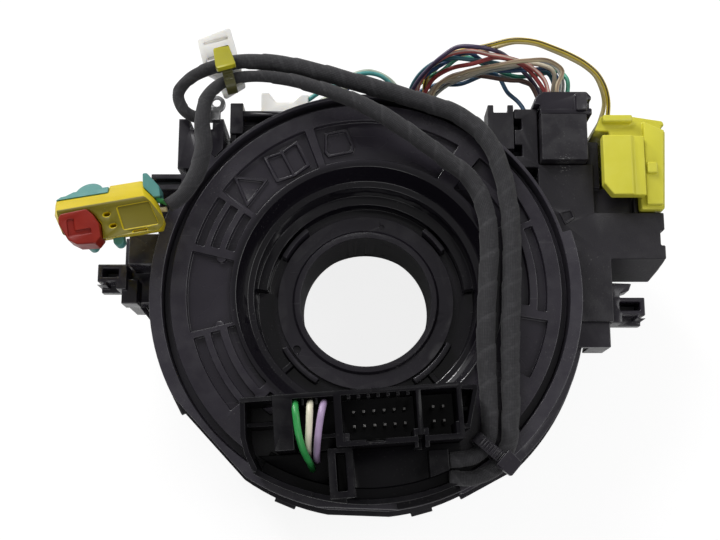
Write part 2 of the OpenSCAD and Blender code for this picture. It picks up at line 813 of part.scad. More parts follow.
// Earth terminal crimped to the end of the branch lead
module earth_terminal() {
    color(steel)
        difference() {
            union() {
                span([-42.7, 46.4, 55.1], [-39.6, 50.2, 58.1]);
                translate([-40.6, 51.2, 56])
                    cylinder(r = 2.4, h = 1);
            }
            translate([-40.6, 51.6, 55])
                cylinder(r = 1.1, h = 3);
            span([-41.6, 49, 57], [-38, 55, 59]);
        }
}

// Squib connector of the airbag, in its own directions: its long upper side slopes and its face leans over
squib_at = [-68.6, 19.4, sweep_z + 0.2];
squib_turn = 9.5;
squib_h = 11;
squib_side_h = 4.3;
squib_base = [[-13.6, 2.2], [-12.6, 8], [10.4, 8], [13, 4.2], [14.6, -3.6], [13.8, -5.6],
    [-9, -5.6], [-10.6, -3]];
squib_face = [[-11.6, 1.5], [11.4, 1.7], [13.2, -0.4], [15.7, -5.2], [15.4, -6.8], [14, -8],
    [-3.6, -8], [-8.4, -6.8], [-10.6, -5]];
cap_y = 5.2;
cap_end = 1.6;
prong_x = [-4.6, 2.4];

module at_squib() {
    translate(squib_at)
        rotate([0, 0, squib_turn])
            children();
}

module squib_shape() {
    hull() {
        rise(0, squib_side_h)
            polygon(squib_base);
        rise(squib_h - 0.1, squib_h)
            polygon(squib_face);
    }
}

module lock_plan() {
    polygon([[-11, -1], [-10.2, -0.1], [-3.6, 0.2], [-2.1, -1.5], [-0.7, -4.1], [-0.7, -7.8], [-2.2, -9.3],
        [-6.9, -8.8], [-9.1, -7.2], [-11, -2.7]]);
}

lock_deep = 5;

module squib_body() {
    color(golden)
        at_squib()
            difference() {
                squib_shape();
                // Room for the cap, seat of the lock, slots of the prongs
                span([-20, cap_y, -1], [cap_end, 20, squib_h + 1]);
                rise(squib_h - lock_deep, squib_h + 1)
                    offset(delta = run_clear)
                        lock_plan();
                for (x = prong_x)
                    span([x - 1.5, -10, 1.4], [x + 1.5, -4.2, 5.4]);
                // Recessed panel, inspection windows and the lead's entry
                rise(squib_h - 0.6, squib_h + 1)
                    polygon([[3.9, 0], [12.4, 0.2], [14.2, -6.3], [5, -6.4]]);
                span([0.3, -2.1, squib_h - 3], [2, -1, squib_h + 1]);
                span([1.6, -5.3, squib_h - 3], [3.3, -4.3, squib_h + 1]);
                span([7.4, -7.6, squib_h - 2], [11.1, -7, squib_h + 1]);
                span([12, -1.9, 3.4], [18, 2.8, 6.8]);
            }
}

module squib_lock() {
    color(red_orange)
        at_squib()
            difference() {
                rise(squib_h - lock_deep + run_clear, squib_h + 1.8)
                    lock_plan();
                rise(squib_h + 1.2, squib_h + 3)
                    outline([[-8.8, -6.4], [-3, -6.4], [-3, -1.9], [-8.8, -1.9]], 0.8);
            }
}

module squib_retainer() {
    color(teal)
        at_squib() {
            // Cap along the upper side, whose dome stands out behind it
            intersection() {
                rise(0.8, squib_h)
                    difference() {
                        union() {
                            polygon([[-12.4, cap_y], [-11.1, 6.4], [-9.9, 6.5], [-7.9, 7.6],
                                [cap_end, 7.6], [cap_end, cap_y]]);
                            translate([-3.6, 6.3])
                                circle(r = 3.7);
                        }
                        translate([-20, cap_y - 20 + 0.05])
                            square([40, 20]);
                    }
                rotate([90, 0, 90])
                    translate([0, 0, -16])
                        linear_extrude(32)
                            polygon([[0, 0], [0, 13], [10.4, 2.3], [10.4, 0]]);
            }
            // Clip round the corner at the lead's end
            difference() {
                rise(1.4, 8)
                    polygon([[10.9, 5.2], [11.3, 8.9], [12.4, 8.8], [15.2, 4.6], [15.1, 1.8], [13.4, 1.8]]);
                squib_shape();
                span([12, -1.9, 3.4], [18, 2.8, 6.8]);
            }
            // Prongs that show below the body
            for (x = prong_x)
                hull() {
                    translate([x, -7.5, 1.5])
                        cylinder(r = 1.4, h = 3.8, $fn = 32);
                    span([x - 1.4, -4.4, 1.5], [x + 1.4, -4.25, 5.3]);
                }
        }
}

// The two wires between the squib connector and the lead
squib_wire_routes = [[[-55.9, 23.4, 59.6], [-54.2, 23.2, 59.5], [-52.6, 22.6, 59.3]],
    [[-55.5, 20.8, 59.2], [-54, 21, 59], [-52.6, 21.1, 58.9]]];

module squib_wires() {
    color("#4fc04f")
        for (r = squib_wire_routes)
            cord(r, 1.4);
}

// Space that the stator takes out of whatever stands round it
module stator_space() {
    rise(base_z - run_clear, flange_top + run_clear)
        flange_plan(flange_out + run_clear);
    rise(flange_top, face_z + 10)
        stator_plan(run_clear);
}

tub_r = stator_out_r - 0.6;
tub_wall = 2;
left_tower = [[-51.2, 34], [-39, 48.2]];
left_frame = [[-38, 44], [-21.4, 55.2]];
slits = [30, 150, 270];
rib_angles = [0, 45, 90, 135, 180, 225, 315];

// Socket that takes one column switch: open on its far side
socket_x = [stator_out_r - 2.6, stator_out_r + 10.6];
socket_low = [0.4, -6];
socket_high = 19;
socket_top = 34.5;

module side_socket(side, low_y) {
    mirror([side < 0 ? 1 : 0, 0, 0])
        difference() {
            span([socket_x[0], low_y, floor_z], [socket_x[1], socket_high, socket_top]);
            span([socket_x[0] + 4, low_y + 2.4, floor_z + 2.4],
                [socket_x[1] + 1, socket_high - 2.4, socket_top - 2.4]);
        }
}

// Hook that stands out over the socket's mouth, with its two slots
lug_z = [socket_top - 1.5, 42];

module side_lug(side, x0, x1, low_y, high_y) {
    mirror([side < 0 ? 1 : 0, 0, 0])
        difference() {
            span([x0, low_y, lug_z[0]], [x1, high_y, lug_z[1]]);
            span([x0 + 2.2, high_y - 3.6, lug_z[1] - 7], [x1 - 1.3, high_y - 1.2, lug_z[1] + 1]);
            span([x0 + 2.8, low_y + 1, lug_z[1] - 6], [x1 - 2.4, low_y + 2.2, lug_z[1] + 1]);
            // The lower side falls away to a thin lip
            span([x1 - 1.6, low_y + 1.2, lug_z[0] - 1], [x1 + 1, low_y + 2, lug_z[1] + 1]);
            span([x0 + 2.8, low_y - 1, lug_z[0] + 3], [x1 + 1, low_y + 1.1, lug_z[1] + 1]);
        }
}

module switch_bracket() {
    color(black_plastic)
        difference() {
            union() {
                // Collar and tub floor
                cylinder(r = collar_r, h = collar_len + 1);
                translate([0, 0, floor_z])
                    cylinder(r = tub_r, h = floor_t);
                difference() {
                    translate([0, 0, floor_z])
                        cylinder(r = tub_r, h = base_z - floor_z);
                    translate([0, 0, floor_z - 1])
                        cylinder(r = tub_r - tub_wall, h = sensor_h + 20);
                }
                for (a = rib_angles)
                    rotate([0, 0, a])
                        translate([0, 1, floor_z])
                            rotate([90, 0, 0])
                                linear_extrude(2)
                                    polygon([[collar_r - 1, -9], [collar_r + 8, -9], [tub_r - 4, -2], [tub_r - 1, 0],
                                        [tub_r - 1, 1], [collar_r - 1, 1]]);
                side_socket(-1, socket_low[0]);
                side_socket(1, socket_low[1]);
                side_lug(-1, socket_x[1] - 2, socket_x[1] + 6, 2.9, 9.9);
                side_lug(1, socket_x[1] - 0.5, socket_x[1] + 8.6, -6.5, 0.5);
                // Wedge above the right lug, block beside the left one and the strut below it
                rise(36, lug_z[1])
                    polygon([[67.6, 0], [67.6, 4.6], [73.4, 4.4], [72.6, 2.4], [70, 1.6], [70, 0]]);
                span([-67.8, -0.8, lug_z[0]], [-63.4, 6.1, lug_z[1] - 2]);
                hull()
                    for (p = [[-65, 1.4], [-55.6, -10]])
                        translate([p[0], p[1], floor_z + 8])
                            cylinder(r = 0.6, h = base_z - floor_z - 8.4, $fn = 12);
                // Left wing, bar and tower
                span([-65, 9, socket_top - 1], [-56, 17.6, 46]);
                span([-58.2, 17, floor_z], [-44, 32.2, 40]);
                difference() {
                    span([-58.2, 28, 36], [-45, 32.4, face_z - 0.4]);
                    span([-59, 29.4, face_z - 3], [-50, 31, face_z + 1]);
                }
                difference() {
                    span([left_tower[0][0], left_tower[0][1], floor_z],
                        [left_tower[1][0], left_tower[1][1], face_z - 0.4]);
                    span([left_tower[0][0] - 1, left_tower[0][1] + 2, 30],
                        [left_tower[0][0] + 1.4, left_tower[1][1] - 3, face_z - 3]);
                    span([left_tower[0][0] + 3, left_tower[1][1] - 3, 30],
                        [left_tower[1][0] - 3, left_tower[1][1] + 1, face_z]);
                }
                // Frame and post behind the ring on the upper left
                difference() {
                    span([left_frame[0][0], left_frame[0][1], floor_z],
                        [left_frame[1][0], left_frame[1][1] - 2, unit_top]);
                    span([left_frame[0][0] + 1.8, left_frame[0][1] - 1, unit_top - 5],
                        [left_frame[1][0] + 1, left_frame[1][1] - 3.6, unit_top + 1]);
                }
                span([left_frame[0][0], left_frame[1][1] - 9, floor_z],
                    [left_frame[0][0] + 3.6, left_frame[1][1], unit_top + 1]);
                // Back rail that ties the frame to the control unit
                span([24, 46, floor_z], [49, 54, 28]);
                span([-22, 50, floor_z], [-12, 53.4, unit_top]);
                // Ledge under the control unit's lower end
                span([54, -13.6, 32], [66.6, -5, unit_top - 2]);
                span([54, -8, floor_z], [64, -5, 33]);
            }
            stator_space();
            // Bore for the column tube, the way for the sensor and the collar's slits
            translate([0, 0, -1])
                cylinder(r = column_bore_r, h = floor_top + 2);
            translate([0, 0, floor_top])
                cylinder(r = tub_r - tub_wall, h = base_z - floor_top - 0.01);
            for (a = slits)
                rotate([0, 0, a])
                    translate([column_bore_r - 2, -slit_w / 2, -1])
                        cube([collar_wall + 4, slit_w, collar_len - 3]);
            for (x_span = [plug_spout_x, main_spout_x])
                span([x_span[0] - run_clear, 40, spout_z[0] - run_clear], [x_span[1] + run_clear, 70, base_z]);
            // Seat of the clamp band
            difference() {
                translate([0, 0, 3.7])
                    cylinder(r = collar_r + 6, h = 5.6);
                translate([0, 0, 3])
                    cylinder(r = collar_r, h = 8);
            }
        }
}

band_t = 0.8;

module clamp_band() {
    color(steel) {
        sector(collar_r + 0.05, collar_r + 0.05 + band_t, 278, 262 + 360, 4, 9);
        for (a = [278, 262])
            rotate([0, 0, a])
                translate([collar_r + 0.05, a > 270 ? -0.1 : -1.1, 4])
                    difference() {
                        cube([7, 1.2, 5]);
                        translate([4, 2, 2.5])
                            rotate([90, 0, 0])
                                cylinder(r = 1.4, h = 4);
                    }
    }
}

module clamp_screw() {
    color(steel)
        rotate([0, 0, 270])
            translate([collar_r + 4, -6.6, 6.5])
                rotate([-90, 0, 0]) {
                    cylinder(r = 0.9, h = 13);
                    translate([0, 0, -1.2])
                        cylinder(r = 2, h = 2);
                }
}

// Control unit on the right
unit_a = [[48, -6.8], [63.4, 37.5]];
unit_b = [[58, 10.5], [82.4, 23.6]];
slot_block = [[41.8, 37.6], [48.3, 53.8]];
unit_low = 14;
deck_low = socket_top + 1.8;
deep_y = 19.4;

module unit_plan(inset) {
    for (u = [unit_a, unit_b])
        translate(u[0] + [inset, inset])
            square(u[1] - u[0] - 2 * [inset, inset]);
}

airbag_tongue = [[69.4, 23.6, 33.4], [80.4, 36, 43.4]];
socket_z = [30, 50];

// The housing's deep part beside the ring; over the column switch it is only a deck
module deep_plan(inset) {
    intersection() {
        unit_plan(inset);
        translate([0, deep_y + inset])
            square([100, 60]);
    }
}

module unit_housing() {
    color(dark_plastic)
        difference() {
            union() {
                rise(unit_low, unit_top)
                    deep_plan(0);
                rise(deck_low, unit_top)
                    unit_plan(0);
                span([unit_b[0][0] + 5, unit_a[0][1], deck_low], [socket_x[1] - 0.9, unit_b[0][1] + 1, unit_top]);
                // The deck's lower side slopes outwards and its corner is cut off
                hull() {
                    rise(unit_top - 1.3, unit_top - 1.2)
                        polygon([[64, 12], [64, 10.5], [82.4, 10.5], [82.4, 12]]);
                    rise(deck_low, deck_low + 0.1)
                        polygon([[64, 12], [64, 6], [79.4, 6], [82.4, 9.4], [82.4, 12]]);
                }
                span([slot_block[0][0], slot_block[0][1] - 1, 29], [slot_block[1][0], slot_block[1][1], unit_top]);
                // Shelf under the main connector, tongue and ledge for the airbag connector
                span([47.6, 37, 24], [63.4, 50, socket_z[0] - 0.2]);
                span(airbag_tongue[0] - [0, sink, 0], airbag_tongue[1]);
                span([63.2, 23.4, 24], [67.2, 46.4, 29.4]);
                span([63.2, 23.4, 29], [75.4, 31, unit_top - 2.4]);
                span([74.2, 23.4, 33], [75.4, 31, unit_top - 0.6]);
                span([61.6, 30.9, 29], [65.2, 44.4, unit_top - 1]);
                // Plain raised mark
                rise(unit_top - sink, unit_top + 0.3)
                    translate([55.6, 22.6])
                        outline([[-2.2, 1], [1.2, 2], [2.2, -0.7], [-0.7, -2.5]], 0.72);
            }
            // Room for the board
            rise(unit_low - 1, unit_top - unit_wall)
                deep_plan(unit_wall);
            rise(deck_low + unit_wall, unit_top - unit_wall)
                unit_plan(unit_wall);
            stator_space();
            translate([0, 0, -1])
                cylinder(r = tub_r + run_clear, h = base_z + 1.3);
            span([54 - run_clear, -13.6 - run_clear, 0],
                [66.6 + run_clear, -5 + run_clear, unit_top - 2 + run_clear]);
            span([22, 45.8, 0], [49.2, 54.2, 28.2]);
            // Slots in the block beside the main connector
            for (y = [40, 47.7])
                span([slot_block[0][0] - 1, y, unit_top - 6], [slot_block[0][0] + 2, y + 3.2, unit_top + 1]);
            // Dent in the panel's right edge
            span([unit_b[1][0] - 1.2, 14.4, unit_top - 6], [unit_b[1][0] + 1, 18.7, unit_top + 1]);
        }
}

module unit_cover() {
    color(black_plastic)
        difference() {
            rise(unit_low - 1.6, unit_low)
                deep_plan(0);
            translate([0, 0, -1])
                cylinder(r = tub_r + run_clear, h = base_z);
        }
}

module unit_board() {
    color(board_green)
        span([unit_b[0][0] + 8, unit_b[0][1] + unit_wall + 0.4, deck_low + unit_wall],
            [unit_b[1][0] - 5, unit_b[1][1] - unit_wall - 0.4, deck_low + unit_wall + board_t]);
}

receptacle_x = [48.7, 61.4];
receptacle_y = [36.4, 51];

module main_receptacle() {
    color(dark_plastic)
        difference() {
            span([receptacle_x[0], receptacle_y[0] + 1.3, socket_z[0]],
                [receptacle_x[1], receptacle_y[1], socket_z[1]]);
            span([receptacle_x[0] + 1.3, receptacle_y[0] + 4, socket_z[0] + 1.3],
                [receptacle_x[1] - 1.3, receptacle_y[1] + 1, socket_z[1] - 1.3]);
        }
}

module main_plug() {
    gap = 1.3 + 0.25;
    color(black_plastic)
        span([receptacle_x[0] + gap, receptacle_y[0] + 4.2, socket_z[0] + gap],
            [receptacle_x[1] - gap, receptacle_y[1] + 0.1, socket_z[1] - gap]);
}

// Wire cover on the main plug, arched on its left
cover_top = 57.9;

module plug_cover() {
    low = receptacle_y[1] + 0.2;
    color(black_plastic)
        difference() {
            union() {
                rise(socket_z[0] + 1, socket_z[1] - 1)
                    polygon([[48.8, low], [48.8, 54.1], [46.9, 54.1], [47.2, 55.6], [48.1, 57],
                        [49.8, cover_top], [61.8, cover_top], [63.1, 56.4], [63.1, low]]);
                span([58.6, low + 0.8, socket_z[1] - 1 - sink], [61.6, 57, socket_z[1] + 0.6]);
            }
            span([receptacle_x[0] + 1.4, low - 1, socket_z[0] + 2.4],
                [receptacle_x[1] - 1.4, low + 4, socket_z[1] - 2.4]);
            span([61.8, 53, socket_z[1] - 4], [64, 55.4, socket_z[1]]);
        }
}

aux_x = [34.4, 41.6];
aux_y = [42, 52.8];

module aux_socket() {
    color(dark_plastic)
        difference() {
            union() {
                span([aux_x[0], aux_y[0], 28.2], [aux_x[1], aux_y[1], unit_top]);
                for (x = [aux_x[0], aux_x[1] - 1.6])
                    span([x, aux_y[1], 36], [x + 1.6, aux_y[1] + 2.2, unit_top]);
            }
            span([aux_x[0] + 1.2, aux_y[0] + 4.6, 33], [aux_x[1] - 1.2, aux_y[1] + 3, unit_top - 1.2]);
            stator_space();
        }
}

airbag_x = [67.8, 83.4];
airbag_y = [24, 50.8];
airbag_z = [30, 48];
airbag_slide_x = [65.1, 76.7];
airbag_slide_y = [27.2, 44.2];
slide_top = airbag_z[1] + 4;

module airbag_plug() {
    low = 31.3;
    color(lemon) {
        difference() {
            union() {
                rise(airbag_z[0], airbag_z[1])
                    polygon([[75.8, airbag_y[0]], [airbag_x[1] - 1.2, airbag_y[0]], [airbag_x[1], 46.4],
                        [82.2, 46.6], [82.2, 48], [airbag_x[1], 48.2], [83, 49.4],
                        [74.2, airbag_y[1]], [65.6, airbag_y[1]], [63.8, 46.6], [airbag_x[0], 46.4],
                        [airbag_x[0], low], [75.8, low]]);
                rise(airbag_z[1] - sink, airbag_z[1] + 1.6)
                    polygon([[airbag_slide_x[1] + 0.4, airbag_y[0] + 1], [airbag_x[1] - 1.8, airbag_y[0] + 1],
                        [airbag_x[1] - 0.6, 46.4], [airbag_slide_x[1] + 0.4, 49]]);
                span([65.8, airbag_slide_y[1] + 4.4, airbag_z[1] - sink], [74, airbag_y[1] - 0.2, airbag_z[1] + 2.4]);
                span([77.3, 33.6, airbag_z[1] + 1], [80.1, 36.8, airbag_z[1] + 3]);
            }
            // Hollow that fits over the unit's tongue
            span(airbag_tongue[0] - [0.3, 5, 0.3], airbag_tongue[1] + [0.3, 0.3, 0.3]);
        }
    }
}

// Slide over the plug, with a step along its right side
module airbag_lock() {
    color(lemon)
        intersection() {
            rise(airbag_z[1] + 0.1, slide_top)
                polygon([[airbag_slide_x[0], airbag_slide_y[0] + 3.2], [airbag_slide_x[0] + 2.4, airbag_slide_y[0]],
                    [airbag_slide_x[1], airbag_slide_y[0]], [airbag_slide_x[1], airbag_slide_y[1]],
                    [airbag_slide_x[0], airbag_slide_y[1]]]);
            translate([0, airbag_slide_y[1] + 1, 0])
                rotate([90, 0, 0])
                    linear_extrude(airbag_slide_y[1] - airbag_slide_y[0] + 2)
                        polygon([[60, airbag_z[1]], [80, airbag_z[1]], [80, slide_top - 1],
                            [airbag_slide_x[1] - 3, slide_top - 0.7], [airbag_slide_x[1] - 3.8, slide_top],
                            [60, slide_top]]);
        }
}

// White connector of the sensor, behind the ring, with its two horns
plug_play = 0.25;
plug_nose_len = 6.6;
harness_y = 60;

module spout_nose(x_span) {
    nose = plug_play + spout_wall;
    span([x_span[0] + nose, spout_y[1] - plug_nose_len, spout_z[0] + nose],
        [x_span[1] - nose, spout_y[1] + plug_play + sink, spout_z[1] - nose]);
}

module sensor_plug() {
    left = plug_spout_x[0];
    right = plug_spout_x[1];
    color(milk_white) {
        spout_nose(plug_spout_x);
        rise(spout_z[0] + 0.4, spout_z[1] + 2)
            polygon([[left, spout_y[1] + plug_play], [right, spout_y[1] + plug_play],
                [right, 64.6], [right - 2.2, 64.6], [right - 4.6, 62.2], [left + 4.4, 62.2],
                [left + 2.2, 65.2], [left, 65.2]]);
    }
}

// White connector at the sensor's other outlet, where the harness starts
module harness_plug() {
    color(milk_white) {
        spout_nose(main_spout_x);
        span([main_spout_x[0], spout_y[1] + plug_play, spout_z[0] + 0.4],
            [main_spout_x[1], harness_y, spout_z[1]]);
    }
}

// Wires of the harness: from two rows in its plug to the main connector and the airbag plug
row_high = 25.6;
row_low = 22.4;
violet_routes = [
    [[12, harness_y, row_high], [14.4, 65.4, 33], [18.4, 68.6, 39], [21.5, 70.4, 42],
        [25.8, 72.1, 44.5], [30.5, 71.9, 46.4], [35.5, 70.5, 46.8], [40.7, 68.6, 46.4],
        [45, 65.9, 46.4], [49.6, 61.5, 46.2], [51.4, 57.9, 45.6]]];
red_routes = [
    [[14.6, harness_y, row_high], [16.8, 63, 30.5], [20, 67.2, 34.6], [24.8, 68.8, 38.7],
        [31, 68.8, 42.3], [37.5, 70.8, 42], [45.1, 68.5, 42.1], [50.2, 62.6, 41.8],
        [52.6, 57.9, 41.4]]];
blue_routes = [
    [[17.2, harness_y, row_low], [15.1, 66, 30.9], [18.6, 68.8, 35], [23, 70.5, 38.7],
        [29.1, 73.6, 38.9], [38.1, 68.8, 37.7], [48.2, 68.6, 38.2], [53.6, 68.6, 38.4],
        [56.4, 63.8, 38.4], [55.4, 57.9, 39.4]],
    [[12, harness_y, row_low], [13.1, 64.4, 23.5], [19.9, 67.8, 27.2], [28, 66.5, 32],
        [38.5, 69.2, 33.2], [41.9, 62.8, 34.4], [44.6, 59.6, 35.6], [46, 57, 36.2],
        [46.4, 53.8, 36.4]]];
green_routes = [
    [[14.6, harness_y, row_low], [14.1, 65.2, 26.8], [18.1, 68.9, 30.7], [21.9, 69.3, 34.4],
        [27.8, 73.2, 36.3], [38.3, 69.8, 35], [44.6, 67.5, 35.6], [51.1, 68.1, 35.9],
        [56.5, 68.6, 36.9], [58.2, 65.9, 38.8], [57.6, 57.9, 41.8]]];
beige_routes = [
    [[19.8, harness_y, row_high], [19.3, 62.4, 30.9], [21.7, 65.2, 35.6], [28.4, 67.1, 39.8],
        [37.4, 68.2, 42.6], [46, 68.8, 44.8], [53, 68.5, 44.6], [56.1, 65.9, 44.4],
        [54.6, 61.4, 44.2], [54.4, 57.9, 43.8]],
    [[17.2, harness_y, row_high], [18.4, 63.5, 29.1], [21.2, 66, 33.1], [27.7, 66.4, 37],
        [36.4, 68.6, 40], [44, 69.4, 40.1], [50.4, 69.1, 40.8], [53.8, 67.4, 41.1],
        [54.1, 61.3, 37.3], [53.4, 57.9, 36.2]]];
brown_routes = [
    [[19.8, harness_y, row_low], [18.7, 63.9, 26], [21.2, 66.5, 30.5], [26, 69.1, 32.6],
        [32.7, 67.5, 36.4], [41.8, 65.8, 37.1], [46.8, 64.9, 38], [50.6, 57.9, 38.6]]];
sensor_wire_routes = [
    [[-17, 63.4, 27.2], [-12.4, 65.8, 29.4], [-6.1, 67.9, 31], [-2.2, 69.6, 32], [1.3, 70, 32],
        [4.7, 69.3, 31.4], [8, 66.8, 29.6], [9.4, 63.8, 27.8], [9.4, harness_y, row_high]],
    [[-17, 62, 24.6], [-12.2, 64, 26.6], [-6.1, 66.2, 28.4], [-2.2, 67.8, 29.2],
        [1.3, 68.2, 29.2], [4.6, 67.2, 28.4], [7.6, 64.8, 26.2], [9, 62.8, 24.2],
        [9.4, harness_y, row_low]]];
airbag_wire_routes = [
    [[22.4, harness_y, row_high], [24.1, 62.6, 28.9], [26.7, 69.1, 36], [30, 72.2, 43.2],
        [34.2, 73.1, 46.3], [37.9, 72.6, 49], [42.9, 73, 49.8], [47.9, 72.3, 50],
        [52.8, 70.5, 50], [57.8, 68.4, 49.6], [62.2, 66, 48.9], [65.5, 63.4, 47.7],
        [67.7, 60.6, 45.7], [69.2, 57, 42.7], [69, 50.8, 40]],
    [[22.4, harness_y, row_low], [25.6, 62.9, 25.1], [28.6, 70.3, 32.3], [31.3, 71, 42.2],
        [35, 72.3, 44.6], [38.4, 72.8, 46.9], [43.2, 73.1, 47.8], [48, 72.5, 48],
        [52.8, 70.6, 48], [57.6, 68.5, 47.6], [62, 66.2, 46.9], [65.1, 63.9, 45.7],
        [67.1, 61, 43.7], [68.4, 57.5, 40.9], [66.8, 50.8, 38.6]]];

module wires(routes, tint) {
    color(tint)
        for (r = routes)
            cord(r, wire_d);
}

module wires_violet() {
    wires(violet_routes, "#5d3a6e");
}

module wires_red() {
    wires(red_routes, "#a63a35");
}

module wires_blue() {
    wires(blue_routes, "#2f62b5");
}

module wires_green() {
    wires(green_routes, "#2a9a72");
}

module wires_beige() {
    wires(beige_routes, "#cdb98c");
}

module wires_brown() {
    wires(brown_routes, "#7a4a34");
}

module sensor_wires() {
    wires(sensor_wire_routes, "#3aa0b8");
}

module airbag_wires() {
    wires(airbag_wire_routes, "#d9b92e");
}

// Screws that hold the clock spring's base to the bracket
screw_places = [[40, 53.2], [160, 53.2], [280, 53.2]];

module bracket_screws() {
    color(steel)
        for (s = screw_places)
            rotate([0, 0, s[0]])
                translate([s[1], 0, floor_z - 1.6])
                    difference() {
                        cylinder(r = 2.6, h = 1.6);
                        translate([-0.4, -1.8, -1])
                            cube([0.8, 3.6, 1.8]);
                        translate([-1.8, -0.4, -1])
                            cube([3.6, 0.8, 1.8]);
                    }
}

rotor_disc();
hub_sleeve();
cancel_cam();
sensor_gear();
rotor_terminal();
connector_block();
block_shroud();
header_pins();
jumper_green();
jumper_white();
jumper_violet();
lead_tie();
lead_loom();
branch_loom();
loom_tie();
white_plug();
earth_terminal();
squib_body();
squib_retainer();
squib_wires();
squib_lock();
stator_case();
stator_base();
flat_cable();
stator_terminal();
sensor_case();
sensor_cover();
sensor_board();
sensor_plug();
harness_plug();
magnet_gear_a();
magnet_gear_b();
switch_bracket();
clamp_band();
clamp_screw();
unit_housing();
unit_cover();
unit_board();
main_receptacle();
main_plug();
plug_cover();
aux_socket();
airbag_plug();
airbag_lock();
airbag_wires();
wires_violet();
wires_red();
wires_blue();
wires_green();
wires_beige();
wires_brown();
sensor_wires();
bracket_screws();
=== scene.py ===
# %% [markdown]
# # A steering clock spring, dressed for the camera
#
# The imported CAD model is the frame: every solid already has its size and its place. This script keeps those
# solids, rounds their edges as a mould would, models the taped leads and wires as real tubes, and gives
# each piece a finish made of shader nodes. All lengths are in metres.

# %% Load the frame
import json
import math

import bmesh
import bpy
import numpy as np
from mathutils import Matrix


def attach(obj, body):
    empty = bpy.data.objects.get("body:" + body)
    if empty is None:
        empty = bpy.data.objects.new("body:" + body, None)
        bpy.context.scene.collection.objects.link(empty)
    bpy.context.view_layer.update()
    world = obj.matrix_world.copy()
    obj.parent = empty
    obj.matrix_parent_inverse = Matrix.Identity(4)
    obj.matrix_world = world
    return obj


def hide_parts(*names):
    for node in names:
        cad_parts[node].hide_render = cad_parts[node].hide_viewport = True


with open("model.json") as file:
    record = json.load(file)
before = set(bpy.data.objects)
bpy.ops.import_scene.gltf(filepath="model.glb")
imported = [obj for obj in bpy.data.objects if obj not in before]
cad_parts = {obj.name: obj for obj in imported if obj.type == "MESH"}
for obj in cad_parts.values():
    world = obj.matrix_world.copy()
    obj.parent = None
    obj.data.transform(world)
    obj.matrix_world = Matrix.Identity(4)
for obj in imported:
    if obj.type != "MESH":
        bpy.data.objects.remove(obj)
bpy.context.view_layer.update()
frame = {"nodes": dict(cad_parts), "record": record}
MM = 0.001

# %% [markdown]
# ## Camera
#
# The part lies on its back and the photographer stood over it, leaning a little towards the connector
# block. So the camera looks straight down, turned up by twelve degrees, and a long lens keeps the circles
# nearly round.

# %% Place the camera
CAMERA_PLACE = (-0.00159, -0.05797, 0.35349)
CAMERA_TILT = math.radians(12)

camera_data = bpy.data.cameras.new("photo_camera")
camera_data.sensor_width = 36
camera_data.lens = 57.5
camera_data.clip_start = 0.01
camera = bpy.data.objects.new("photo_camera", camera_data)
camera.location = CAMERA_PLACE
camera.rotation_euler = (CAMERA_TILT, 0, 0)
bpy.context.scene.collection.objects.link(camera)
bpy.context.scene.camera = camera
print("camera looks down, tilted by", round(math.degrees(CAMERA_TILT)), "degrees")

# %% [markdown]
# ## Tubes along a route
#
# A lead or a wire is a circle carried along a curve. Its route has a few given points, so the curve
# between them is worked out first, and then one ring of vertices stands at each step of it. Blender's own
# curves could do this too, but a grid of points lets the tape's overlaps and lumps change the radius
# wherever they lie.


# %% Curve through points
def smooth_path(points, spacing):
    """Cubic Hermite curve through the points, sampled every `spacing`.

    Each span mixes its two end points and their two slopes with the four Hermite cubics of the share of the
    span already covered. A fourth column, such as a diameter, is carried along in the same way.
    """
    p = np.asarray(points, float)
    chord = np.linalg.norm(np.diff(p[:, :3], axis=0), axis=1)
    s = np.r_[0, np.cumsum(chord)]
    slope = np.gradient(p, s, axis=0)
    at = np.linspace(0, s[-1], max(2, int(round(s[-1] / spacing)) + 1))
    i = np.clip(np.searchsorted(s, at, side="right") - 1, 0, len(chord) - 1)
    h = chord[i][:, None]
    u = ((at - s[i]) / chord[i])[:, None]
    return ((2 * u**3 - 3 * u**2 + 1) * p[i] + (u**3 - 2 * u**2 + u) * h * slope[i]
            + (3 * u**2 - 2 * u**3) * p[i + 1] + (u**3 - u**2) * h * slope[i + 1])


def path_length(path):
    """Sum of the distances between neighbouring points, and the running sum up to each point."""
    step = np.linalg.norm(np.diff(path[:, :3], axis=0), axis=1)
    return step.sum(), np.r_[0, np.cumsum(step)]


bend = smooth_path([[0, 0, 0], [10, 0, 0], [10, 10, 0]], 0.5)
print("a curve round a 10 mm corner is", round(path_length(bend)[0], 2), "mm long")

# %% [markdown]
# The points of a tube form a grid: rings along the run, sides round it. They are numbered row by row, so
# one formula writes all faces.


